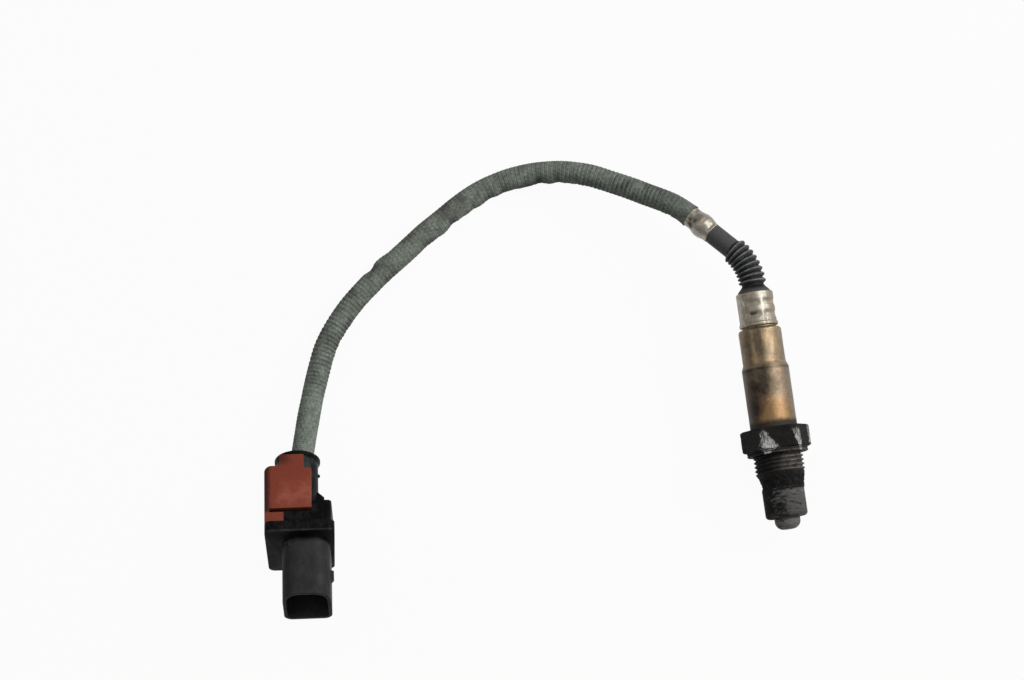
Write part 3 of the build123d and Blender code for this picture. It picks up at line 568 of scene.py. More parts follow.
@dataclass(frozen=True)
class TemperedSteel(Finish):
    """Housing sleeve: straw and gold near the hexagon, a dark smear, dull bronze above."""

    bronze: Colour = (0.43, 0.31, 0.185)
    dull: Colour = (0.27, 0.21, 0.14)
    # Grey, painted as a reflection along the sleeve's right edge.
    grey: Colour = (0.22, 0.21, 0.195)
    gold: Colour = (0.35, 0.21, 0.095)
    # A rosy tint, painted as the highlight's colour on the lower sleeve.
    rose_highlight: Colour = (0.33, 0.24, 0.175)
    # Dark, for the smears and for the painted shade on the left side.
    smear: Colour = (0.035, 0.027, 0.026)
    burnt: Colour = (0.03, 0.021, 0.014)
    burn: Point = (HEX_BACK + 3.4, HEX_BACK + 1.4)
    gilt: Point = (51.5, 43.0)
    dulled: Point = (47.0, 53.0)
    smears: Sequence[Smear] = (
        Smear((-3.6, 50.5), 4.6, 5.4, 0.35, 0.93),
        Smear((-1.6, 55.6), 3.6, 4.0, 0.3, 0.8),
        Smear((-6.2, 44.6), 3.7, 7.0, 0.25, 0.9),
        Smear((1.2, 51.5), 3.2, 5.0, 0.2, 0.5),
        Smear((-1.8, 66.5), 1.8, 7.5, -0.05, 0.6),
        Smear((-6.2, 65.0), 2.0, 9.0, 0.0, 0.5),
        Smear((3.9, 62.0), 1.2, 3.2, 0.1, 0.35),
    )

    def paint(self, graph: ShaderGraph) -> None:
        """Lay the tempering colours along the sleeve, paint a highlight tint and a reflection on
        its right and shade on its left and at the cone, and lay the smear over them.

        Args:
            graph: The material's graph.
        """
        at = graph.place(SENSOR)
        x, _, station = graph.split(at)
        clouds = graph.noise(at, 0.2, 5.0, 0.6)
        blots = graph.noise(at, 0.55, 5.0, 0.65)
        brushed = graph.noise(graph.place(SENSOR, (0.6, 0.6, 6.0)), 1.0, 5.0, 0.65)
        grain = graph.noise(at, 1.5, 5.0, 0.75)
        drift = station + 5.0 * (clouds - 0.5) + 3.0 * (blots - 0.5)
        lower = graph.rise(station, CONE_FRONT + 0.4, CONE_FRONT - 0.4)
        mottle = graph.rise(0.6 * clouds + 0.4 * brushed, 0.4, 0.62)
        # Painted highlight: on the lower sleeve the rosy tint lies to the right, where the key's
        # highlight falls, and the dull coat is kept off that side.
        under = lower * graph.rise(drift, *self.dulled) * graph.rise(x, 4.5, 0.5)
        rose_highlight = lower * graph.rise(x + 3.0 * (blots - 0.5), 1.0, 4.5)
        gold = lower * graph.rise(drift + 0.3 * x, *self.gilt)
        # Painted shade: the sleeve's left side, away from the key lamp, is darkened with the
        # smear's colour.
        shaded = graph.rise(x + 2.0 * (blots - 0.5), -3.0, -7.5)
        colour = graph.layers(
            self.bronze,
            (mottle, self.dull),
            (under * 0.75, self.dull),
            (rose_highlight * 0.8, self.rose_highlight),
            (gold * 0.92, self.gold),
            # Painted reflection: grey along the right edge, where the metal mirrors the room.
            (graph.rise(x, 5.2, 8.0) * 0.7, self.grey),
            (shaded * (0.15 + 0.55 * lower), self.smear),
            (self._smears(graph, x, station, clouds, blots), self.smear),
        )
        shade = graph.limit(0.2 + 1.1 * grain + 0.55 * (blots - 0.4), 0.2, 1.0)
        # Painted shade in the crease at the cone's shoulder.
        fold_shade = graph.band(station, CONE_FRONT - 0.9, CONE_FRONT + 0.1, 0.4)
        shade = shade * (1 - 0.45 * fold_shade)
        ragged = station + 1.6 * (graph.noise(at, 0.8, 5.0, 0.65) - 0.5)
        burn = graph.rise(ragged, *self.burn)
        colour = graph.mix(burn, graph.shaded(colour, shade), self.burnt)
        graph.surface(
            Base_Color=colour,
            Metallic=graph.limit(0.88 - 0.6 * burn),
            Roughness=graph.limit(0.36 + 0.16 * grain + 0.1 * clouds + 0.25 * burn),
            Normal=graph.relief(0.4 * brushed + 0.6 * grain, 0.12, 0.6),
        )

    def _smears(
        self, graph: ShaderGraph, x: Value, station: Value, clouds: Value, blots: Value
    ) -> Value:
        """The dark smears' mask.

        Args:
            graph: The material's graph.
            x: Place across the sensor, in millimetres.
            station: Place along it.
            clouds: Large noise.
            blots: Middling noise.

        Returns:
            The mask.
        """
        total: Value | float = 0.0
        bent = 1.5 * (blots - 0.5) + 1.4 * (clouds - 0.5)
        for smear in self.smears:
            middle, level = smear.middle
            off = station - level
            side = (x - middle - off * smear.lean) / smear.half_width
            spread = side * side + (off / smear.half_length) ** 2 + bent
            patch = graph.rise(spread, 1.6, -0.25) * smear.weight
            total = graph.math("MAXIMUM", patch, total)
        return graph.limit(total)


@dataclass(frozen=True)
class StainedSteel(Finish):
    """Crimp collar and ferrule: pale steel with brown stains, darker in the dents."""

    stand: Stand = SENSOR
    pale: Colour = (0.43, 0.405, 0.355)
    stain: Colour = (0.3, 0.25, 0.18)
    dark_marks: Colour = (0.05, 0.045, 0.035)
    roughness: float = 0.5
    darker_side: Point = (2.8, 5.2)
    warm_side: Point = (-4.6, 0.2)

    def paint(self, graph: ShaderGraph) -> None:
        """Stain the steel in streaks and darken the dents by their own attribute.

        Args:
            graph: The material's graph.
        """
        at = graph.place(self.stand)
        streaks = graph.noise(graph.place(self.stand, (0.7, 0.7, 3.5)), 0.7, 5.0, 0.6)
        clouds = graph.noise(at, 0.33, 5.0, 0.6)
        fine = graph.noise(at, 2.2, 5.0, 0.7)
        dent = graph.attribute("dent")
        stained = graph.rise(clouds * 0.5 + streaks * 0.5, 0.42, 0.62)
        coats = [(stained * 0.8, self.stain)]
        if self.stand is SENSOR:
            x = graph.split(at)[0]
            warm = graph.band(x + 2.0 * (streaks - 0.5), *self.warm_side, 1.2)
            # Darker towards the right side of the collar.
            coats.append((graph.rise(x, *self.darker_side) * 0.8, self.stain))
            coats.append((warm * 0.5, self.stain))
        # Darker in the dents, most on one side, and in scattered spots.
        dark_marks = graph.rise(dent + 0.5 * (fine - 0.5), 0.35, 1.05)
        spots = graph.rise(fine * 0.5 + clouds * 0.5, 0.56, 0.68)
        coats += [(dark_marks * 0.85, self.dark_marks), (spots * 0.55, self.dark_marks)]
        graph.surface(
            Base_Color=graph.layers(self.pale, *coats),
            Metallic=0.9,
            Roughness=graph.limit(self.roughness + 0.12 * stained + 0.3 * dark_marks),
            Normal=graph.relief(0.6 * streaks + 0.4 * fine, 0.1, 0.6),
        )


@dataclass(frozen=True)
class BootRubber(Finish):
    """Bellows boot: dark grey rubber, with painted shade that blackens its folds, and dust with a
    painted highlight on what stands out.
    """

    # Black, for the painted shade in the folds and for dark grain.
    dark: Colour = (0.003, 0.003, 0.0032)
    rubber: Colour = (0.06, 0.06, 0.061)
    dust_and_highlight: Colour = (0.2, 0.215, 0.205)

    def paint(self, graph: ShaderGraph) -> None:
        """Paint shade by the crest attribute, dust the crests with a painted highlight, and grain
        the rest.

        Args:
            graph: The material's graph.
        """
        at = graph.place()
        clouds = graph.noise(at, 0.4, 5.0, 0.6)
        fine = graph.noise(at, 2.2, 5.0, 0.7)
        crest = graph.attribute("crest")
        # Dust and a painted highlight on the crests.
        dust = graph.rise(crest, 0.74, 0.88) * graph.rise(clouds * 0.6 + fine * 0.4, 0.3, 0.6)
        specks = graph.rise(0.4 * clouds + 0.6 * fine, 0.54, 0.66)
        colour = graph.layers(
            # Painted shade: black in the valleys, and darker again from the middle of each slope
            # up.
            self.dark,
            (graph.rise(crest, 0.1, 0.42), self.rubber),
            (graph.rise(crest, 0.45, 0.65) * 0.6, self.dark),
            (dust * 0.8, self.dust_and_highlight),
            (specks * 0.35, self.dust_and_highlight),
            (graph.rise(fine, 0.46, 0.36) * 0.5, self.dark),
        )
        graph.surface(
            Base_Color=colour,
            Specular_IOR_Level=0.25,
            Roughness=graph.limit(0.55 + 0.2 * fine),
            Normal=graph.relief(0.5 * clouds + 0.5 * fine, 0.12, 0.7),
        )


@dataclass(frozen=True)
class BraidedTextile(Finish):
    """Cable sleeve: grey-green glass-fibre braid, soiled, with fine hoops and crossed strands."""

    pale: Colour = (0.215, 0.243, 0.208)
    # Dark, for the painted shade in the folds.
    shade_in_folds: Colour = (0.022, 0.028, 0.023)
    painted_sheen: Colour = (0.26, 0.315, 0.27)
    soil: Colour = (0.1, 0.088, 0.078)
    hoop_pitch: float = 0.8
    strand_pitch: float = 3.2
    strands: int = 16
    darkened: Point = (24.0, 10.0)
    sheen_stretch: Point = (160.0, 188.0)

    def paint(self, graph: ShaderGraph) -> None:
        """Weave from the piece's own map: millimetres along it, and turns round it.

        Args:
            graph: The material's graph.
        """
        at = graph.place()
        along, around, _ = graph.split(graph.node("ShaderNodeUVMap").outputs[0])
        length = along * BRAID_MAP
        turn = 2 * math.pi
        hoops = graph.math("SINE", length * (turn / self.hoop_pitch))
        slant = length * (turn / self.strand_pitch)
        left = graph.math("SINE", around * (turn * self.strands) + slant)
        right = graph.math("SINE", around * (turn * self.strands) - slant)
        braid = 0.5 + 0.2 * hoops + 0.15 * left + 0.15 * right
        clouds = graph.noise(at, 0.11, 4.0, 0.6)
        blots = graph.noise(at, 0.32, 4.0, 0.6)
        tufts = graph.noise(at, 0.9, 6.0, 0.75)
        fold_shade = graph.attribute("fold_shade")
        soiled = graph.rise(clouds + 0.3 * (tufts - 0.5), 0.46, 0.66)
        worn = graph.rise(blots, 0.3, 0.62)
        ferrule = graph.rise(length, *self.darkened)
        shade = graph.limit(0.5 * braid * tufts + 1.3 * tufts, 0.15, 1.3)
        shade = shade * (0.72 + 0.36 * worn) * (1.0 - 0.2 * ferrule)
        # Painted highlight: a paler, greener sheen along the end near the connector.
        painted_sheen = graph.rise(length, *self.sheen_stretch) * graph.rise(clouds, 0.4, 0.55)
        colour = graph.layers(
            self.pale,
            (soiled * 0.7, self.soil),
            # Painted shade in the hollows of the folds, from the mesh's mark.
            (graph.limit(fold_shade), self.shade_in_folds),
            (0.55 * painted_sheen, self.painted_sheen),
        )
        graph.surface(
            Base_Color=graph.shaded(colour, shade),
            Specular_IOR_Level=0.2,
            Roughness=0.85,
            Normal=graph.relief(braid * 0.6 + tufts * 0.4, 0.3, 0.9),
        )


@dataclass(frozen=True)
class MouldedPlastic(Finish):
    """Connector plastics: a fine moulded grain, handling marks and dust in the corners."""

    colour: Colour = (0.0045, 0.0045, 0.005)
    worn: Colour = (0.016, 0.016, 0.017)
    dust: Colour = (0.13, 0.12, 0.1)
    dusted: float = 0.2
    roughness: float = 0.34
    shine: float = 0.12
    rim: float = 0.0
    flange_front: float = 0.0
    flange_top: float = 12.3
    # The painted highlight's colour along the flange's front edge.
    edge: Colour = (0.036, 0.036, 0.037)
    nose_sheen: Colour = (0.037, 0.037, 0.039)

    def paint(self, graph: ShaderGraph) -> None:
        """Wear the colour in clouds and scratches, and dot it with dust.

        Args:
            graph: The material's graph.
        """
        at = graph.place(CONNECTOR)
        clouds = graph.noise(at, 0.2, 5.0, 0.6)
        marks = graph.noise(graph.place(CONNECTOR, (0.8, 0.8, 2.4)), 0.8, 6.0, 0.7)
        fine = graph.noise(at, 2.4, 5.0, 0.7)
        worn = graph.rise(clouds * 0.6 + marks * 0.4, 0.44, 0.62)
        dust = graph.rise(marks * 0.4 + fine * 0.6, 0.57, 0.7) * self.dusted
        coats = [(worn * 0.7, self.worn), (dust, self.dust)]
        if self.rim:
            station = graph.split(at)[2]
            coats.append((graph.rise(station, self.rim + 0.4, self.rim), self.colour))
        if self.flange_front:
            coats += self._front(graph, at, worn, 0.5 * marks + 0.5 * fine)
        graph.surface(
            Base_Color=graph.layers(self.colour, *coats),
            Specular_IOR_Level=self.shine,
            Roughness=graph.limit(self.roughness + 0.22 * fine - 0.06 * worn),
            Normal=graph.relief(0.3 * marks + 0.7 * fine, 0.08, 0.6),
        )

    def _front(
        self, graph: ShaderGraph, at: Socket, worn: Value, grit: Value
    ) -> list[tuple[Value, Colour]]:
        """Lighten the nose as a painted sheen, dust its corner with the flange and paint a
        highlight along the flange's edge.

        Args:
            graph: The material's graph.
            at: Coordinates along the connector.
            worn: Where the plastic is worn.
            grit: Fine noise about 0.5.

        Returns:
            The masks and their colours, from below.
        """
        x, y, station = graph.split(at)
        front, top = self.flange_front, self.flange_top
        # Painted sheen: the nose is lighter than the rest of the housing.
        pale = graph.rise(station, front - 0.3, front + 2.0)
        nose_left = graph.rise(x, 1.0, -5.0) * graph.rise(station, front, front + 0.4)
        corner = graph.rise(station, front + 7.0, front + 1.0) * nose_left
        corner = corner * graph.rise(grit, 0.48, 0.58)
        # Painted highlight along the flange's top front edge, where its rounding would catch the
        # light.
        flange = graph.rise(y, top - 0.9, top - 0.35)
        flange = flange * graph.band(station, front - 0.75, front, 0.3)
        return [
            (pale * (0.7 + 0.3 * worn), self.nose_sheen),
            (corner * 0.6, self.dust),
            (flange * (0.5 + 0.5 * worn), self.edge),
        ]


@dataclass(frozen=True)
class LockPlastic(Finish):
    """The lock's red plastic: pinkish where it is rubbed, with deep red painted shade along its
    long edge and beside the cap.
    """

    red: Colour = (0.19, 0.038, 0.02)
    rubbed: Colour = (0.31, 0.085, 0.052)
    maroon_and_shade: Colour = (0.03, 0.006, 0.005)
    left: float = -11.3
    handled: Point = (13.0, 23.0)
    edge_end: Point = (25.8, 25.0)
    cap_side_shade: Point = (6.6, 4.0)

    def paint(self, graph: ShaderGraph) -> None:
        """Rub the top, paint shade on the edge and beside the cap, and grain the rest.

        Args:
            graph: The material's graph.
        """
        at = graph.place(CONNECTOR)
        x, _, station = graph.split(at)
        clouds = graph.noise(at, 0.22, 5.0, 0.6)
        fine = graph.noise(at, 2.0, 5.0, 0.7)
        middle = graph.band(station, *self.handled, 4.0)
        middle = middle * graph.rise(x, self.left + 2.0, self.left + 6.0)
        rubbed = graph.rise(clouds * 0.5 + fine * 0.3 + 0.2 * middle, 0.46, 0.66)
        # Painted shade: the rounded left edge turns away from the light, and so does the neck's
        # left side beside the cap.
        edge = graph.rise(x + 1.2 * (clouds - 0.5), self.left + 2.7, self.left + 0.9)
        dark = edge * graph.rise(station, *self.edge_end)
        cap_side_shade = graph.rise(station, *self.cap_side_shade) * graph.rise(x, -1.0, -5.0)
        dark = graph.math("MAXIMUM", dark * 0.9, cap_side_shade * 0.6)
        colour = graph.layers(
            self.red,
            (rubbed * 0.7, self.rubbed),
            (graph.rise(fine, 0.5, 0.62) * 0.4, self.maroon_and_shade),
            (dark, self.maroon_and_shade),
        )
        graph.surface(
            Base_Color=colour,
            Specular_IOR_Level=0.2,
            Roughness=graph.limit(0.42 + 0.2 * fine),
            Normal=graph.relief(0.4 * clouds + 0.6 * fine, 0.08, 0.6),
        )


SHELL = BurntSteel(
    "burnt_shell_steel",
    scrapes=(
        Scrape((-5.3, 34.9), (-3.4, 28.2), 1.1, 3.2),
        Scrape((6.5, 34.7), (7.6, 28.2), 1.7, 0.6),
        Scrape((12.4, 36.0), (12.6, 29.4), 1.1, 0.9),
    ),
)
RING = BurntSteel(
    "burnt_ring_steel",
    scrapes=(
        Scrape((-3.4, 28.9), (-4.6, 26.8), 2.9, 1.0),
        Scrape((7.5, 28.9), (7.7, 27.0), 0.7, 0.4),
    ),
)
TUBE = SootedSteel("sooted_tube_steel")
NUB = SootedSteel("sooted_nub_steel", (0.035, 0.034, 0.033), (0.15, 0.146, 0.14), bare=0.08)
SLEEVE = TemperedSteel("tempered_sleeve_steel")
COLLAR = StainedSteel("stained_collar_steel")
BOOT = BootRubber("boot_rubber")
BRAID = BraidedTextile("sleeve_braid")
RED = LockPlastic("lock_red")
BLACK = MouldedPlastic("housing_black", dusted=0.3, shine=0.03, flange_front=35.0)
CAP = MouldedPlastic(
    "cap_black", (0.004, 0.0045, 0.0045), (0.034, 0.036, 0.036), shine=0.08, rim=1.3
)
STEATITE = PlainFinish("steatite", (0.78, 0.75, 0.68), 0.0, 0.7)
SPRING_STEEL = PlainFinish("spring_steel", (0.55, 0.55, 0.53), 0.95, 0.35)
INNER = {
    "sensing_element": PlainFinish("zirconia", (0.8, 0.78, 0.72), 0.0, 0.55),
    "front_bush": STEATITE,
    "powder_seal": PlainFinish("pressed_powder", (0.66, 0.64, 0.58), 0.0, 0.95, 0.4),
    "rear_bush": STEATITE,
    "contact_holder_upper": STEATITE,
    "contact_holder_lower": STEATITE,
    "holder_clamp": SPRING_STEEL,
    "contact_springs": SPRING_STEEL,
    "grommet": PlainFinish("grommet_rubber", (0.03, 0.03, 0.03), 0.0, 0.7),
    "lead_wires": PlainFinish("lead_insulation", (0.17, 0.17, 0.17), 0.0, 0.5),
    "wire_seal": PlainFinish("seal_silicone", (0.4, 0.1, 0.05), 0.0, 0.45),
    "terminal_pins": PlainFinish("tinned_pins", (0.62, 0.62, 0.6), 1.0, 0.25),
    "pin_carrier": PlainFinish("carrier_black", (0.02, 0.02, 0.02), 0.0, 0.55),
    "trim_resistor": PlainFinish("resistor_ceramic", (0.3, 0.36, 0.42), 0.0, 0.5),
}


# --- Meshes ---


class Run(Enum):
    """How a path runs from point to point."""

    STRAIGHT = "POLY"
    SMOOTH = "NURBS"


def bell(off: float) -> float:
    """1 at 0, falling smoothly to 0 at 1."""
    return (0.5 + 0.5 * math.cos(math.pi * min(1.0, abs(off)))) ** 0.8


def uneven(angle: float, station: float, stretch: float, scale: float) -> float:
    """Noise round an axis, the same on every run.

    Args:
        angle: The angle round the axis.
        station: Millimetres along it.
        stretch: The station's share in the noise.
        scale: How fine the noise is.

    Returns:
        A number between -1 and 1.
    """
    at = Vector((math.cos(angle), math.sin(angle), station * stretch))
    return noise.noise(at * scale)


def rounded(points: Sequence[Point], corners: dict[int, float], steps: int = 5) -> list[Point]:
    """Round some of an outline's corners.

    Args:
        points: The outline as (radius, station) pairs.
        corners: Corner number to its rounding radius.
        steps: Points on each arc.

    Returns:
        The outline with its arcs.
    """
    out: list[Point] = []
    count = len(points)
    for i, point in enumerate(points):
        if i not in corners:
            out.append(point)
            continue
        here = Vector(point)
        before = Vector(points[i - 1]) - here
        after = Vector(points[(i + 1) % count]) - here
        half = before.angle(after) / 2
        reach = min(corners[i] / math.tan(half), 0.49 * before.length, 0.49 * after.length)
        first, last = here + before.normalized() * reach, here + after.normalized() * reach
        for k in range(steps + 1):
            t = k / steps
            bent = first * (1 - t) ** 2 + here * (2 * t * (1 - t)) + last * t**2
            out.append((bent.x, bent.y))
    return out


def divided(points: Sequence[Point], step: float) -> list[Point]:
    """Add points on the long runs of an outline, whose end joins its start.

    Args:
        points: The outline.
        step: The longest run that is left.

    Returns:
        The finer outline.
    """
    out: list[Point] = []
    for here, there in zip(points, [*points[1:], points[0]]):
        start, end = Vector(here), Vector(there)
        parts = max(1, math.ceil((end - start).length / step))
        out += [tuple(start.lerp(end, k / parts)) for k in range(parts)]
    return out


def placed(name: str, data: bpy.types.ID) -> bpy.types.Object:
    """Put an object with this data into the scene.

    Args:
        name: The object's name.
        data: Its mesh, curve, light or camera.

    Returns:
        The object.
    """
    holder = bpy.data.objects.new(name, data)
    bpy.context.scene.collection.objects.link(holder)
    return holder


def path(
    name: str, run: Run, points: Sequence[Triple | Vector], resolution: int = 12
) -> bpy.types.Object:
    """Lay a curve through points.

    Args:
        name: The object's name.
        run: How it runs between the points.
        points: The points, in millimetres.
        resolution: Steps between two points of a smooth run.

    Returns:
        The curve's object.
    """
    curve = bpy.data.curves.new(name, "CURVE")
    curve.dimensions = "3D"
    curve.resolution_u = resolution
    spline = curve.splines.new(run.value)
    spline.points.add(len(points) - 1)
    for target, point in zip(spline.points, points):
        target.co = (*(Vector(point) * MM), 1)
    return placed(name, curve)


def finished(
    name: str, mesh: bpy.types.Mesh, finish: Finish, replaces: Sequence[str] = ()
) -> bpy.types.Object:
    """Turn a mesh into a piece of the object.

    Args:
        name: The piece's name.
        mesh: Its mesh, in the row frame.
        finish: Its surface.
        replaces: The nodes that it stands for.

    Returns:
        The piece, riding on the root body.
    """
    piece = placed(name, mesh)
    mesh.materials.clear()
    mesh.materials.append(finish.material())
    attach(piece, ROOT)
    if replaces:
        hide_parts(*replaces)
    log.info("%s: %d faces, %s", name, len(mesh.polygons), finish.name)
    return piece


def smoothed(mesh: bpy.types.Mesh, angle: float = 32.0) -> bpy.types.Mesh:
    """Shade a mesh smooth, apart from its sharp edges.

    Args:
        mesh: The mesh, changed in place.
        angle: Edges sharper than this many degrees stay sharp.

    Returns:
        The same mesh.
    """
    mesh.polygons.foreach_set("use_smooth", [True] * len(mesh.polygons))
    mesh.set_sharp_from_angle(angle=math.radians(angle))
    return mesh


def turned(
    name: str,
    outline: Sequence[Point],
    stand: Stand,
    segments: int = 128,
    shape: Shape | None = None,
    mark: str = "",
    marker: Shape | None = None,
) -> bpy.types.Mesh:
    """Turn an outline, which is a loop round a bore, about a stand's Z axis.

    Args:
        name: The mesh's name.
        outline: (radius, station) pairs in millimetres.
        stand: Where it stands.
        segments: Faces round the axis.
        shape: Radius, station and angle to what is added to the radius.
        mark: The name of an attribute that marker gives.
        marker: Radius, station and angle to the attribute's value.

    Returns:
        The mesh, in the row frame.
    """
    shell = bmesh.new()
    layer = shell.verts.layers.float.new(mark) if mark else None
    rings = []
    for radius, station in outline:
        ring = []
        for k in range(segments):
            angle = 2 * math.pi * k / segments
            out = radius + (shape(radius, station, angle) if shape else 0)
            vert = shell.verts.new((out * math.cos(angle), out * math.sin(angle), station))
            if layer:
                vert[layer] = marker(radius, station, angle)
            ring.append(vert)
        rings.append(ring)
    for low, high in zip(rings, rings[1:] + rings[:1]):
        for k in range(segments):
            after = (k + 1) % segments
            shell.faces.new([low[k], low[after], high[after], high[k]])
    bmesh.ops.recalc_face_normals(shell, faces=shell.faces)
    mesh = bpy.data.meshes.new(name)
    shell.to_mesh(mesh)
    shell.free()
    mesh.transform(stand.matrix)
    return smoothed(mesh)


def softened(
    node: str,
    width: float,
    segments: int = 2,
    first: Callable[[bmesh.types.BMesh], None] | None = None,
) -> bpy.types.Mesh:
    """Copy a node's mesh and round its sharp edges.

    Args:
        node: The CAD node.
        width: The rounding's width, in millimetres.
        segments: Faces across the rounding.
        first: What is done to the merged copy before its edges are rounded.

    Returns:
        The new mesh.
    """
    flat, sharp, creased = math.radians(1.0), math.radians(30.0), 40.0
    shell = bmesh.new()
    shell.from_mesh(frame["nodes"][node].data)
    bmesh.ops.remove_doubles(shell, verts=shell.verts, dist=1e-6)
    bmesh.ops.dissolve_limit(shell, angle_limit=flat, verts=shell.verts, edges=shell.edges)
    if first:
        first(shell)
    mesh = bpy.data.meshes.new(node + "_copy")
    shell.to_mesh(mesh)
    shell.free()
    holder = placed(node + "_copy", mesh)
    edge = holder.modifiers.new("edge", "BEVEL")
    edge.width = width * MM
    edge.segments = segments
    edge.limit_method = "ANGLE"
    edge.angle_limit = sharp
    edge.use_clamp_overlap = True
    return smoothed(baked(holder), creased)


def baked(holder: bpy.types.Object) -> bpy.types.Mesh:
    """Turn an object with modifiers into a plain mesh.

    Args:
        holder: The object, which is deleted.

    Returns:
        The mesh.
    """
    bpy.context.view_layer.update()
    graph = bpy.context.evaluated_depsgraph_get()
    mesh = bpy.data.meshes.new_from_object(holder.evaluated_get(graph), depsgraph=graph)
    holder.modifiers.clear()
    bpy.data.objects.remove(holder)
    return mesh


# --- Geometry Nodes ---


class GeometryGraph(Graph):
    """A Geometry Nodes tree with named inputs for its sizes."""

    def __init__(self, name: str, sizes: dict[str, float]) -> None:
        """Make the tree, its interface and its two ends.

        Args:
            name: The tree's name.
            sizes: Its named inputs and what they are set to.
        """
        tree = bpy.data.node_groups.new(name, "GeometryNodeTree")
        super().__init__(tree)
        ports = tree.interface
        ports.new_socket("Geometry", in_out="INPUT", socket_type="NodeSocketGeometry")
        ports.new_socket("Geometry", in_out="OUTPUT", socket_type="NodeSocketGeometry")
        self.sizes = sizes
        for size in sizes:
            ports.new_socket(size, in_out="INPUT", socket_type="NodeSocketFloat")
        self.entry = self.node("NodeGroupInput")
        self.exit = self.node("NodeGroupOutput")

    def size(self, name: str) -> Value:
        """A named input's value."""
        return Value(self, self.entry.outputs[name])

    def store(self, geometry: Socket, name: str, value: Value) -> Socket:
        """Keep a number on every point, under a name."""
        settings = {"data_type": "FLOAT", "domain": "POINT"}
        inputs = {"Geometry": geometry, "Name": name, "Value": value}
        return self.node("GeometryNodeStoreNamedAttribute", settings, inputs).outputs[0]

    def close(self, geometry: Socket, material: bpy.types.Material) -> None:
        """End the tree in Realize Instances and Set Material.

        Args:
            geometry: What the tree has made.
            material: The material that it gets.
        """
        real = self.node("GeometryNodeRealizeInstances", inputs={0: geometry})
        inputs = {"Geometry": real.outputs[0], "Material": material}
        dressed = self.node("GeometryNodeSetMaterial", inputs=inputs)
        self.feed(self.exit.inputs[0], dressed.outputs[0])

    def apply(self, holder: bpy.types.Object) -> bpy.types.Mesh:
        """Run the tree on an object.

        Args:
            holder: The object, which is deleted.

        Returns:
            The result as a plain mesh.
        """
        modifier = holder.modifiers.new(self.tree.name, "NODES")
        modifier.node_group = self.tree
        for item in self.tree.interface.items_tree:
            if item.in_out == "INPUT" and item.name in self.sizes:
                modifier[item.identifier] = float(self.sizes[item.name])
        return baked(holder)


# --- Sensor ---


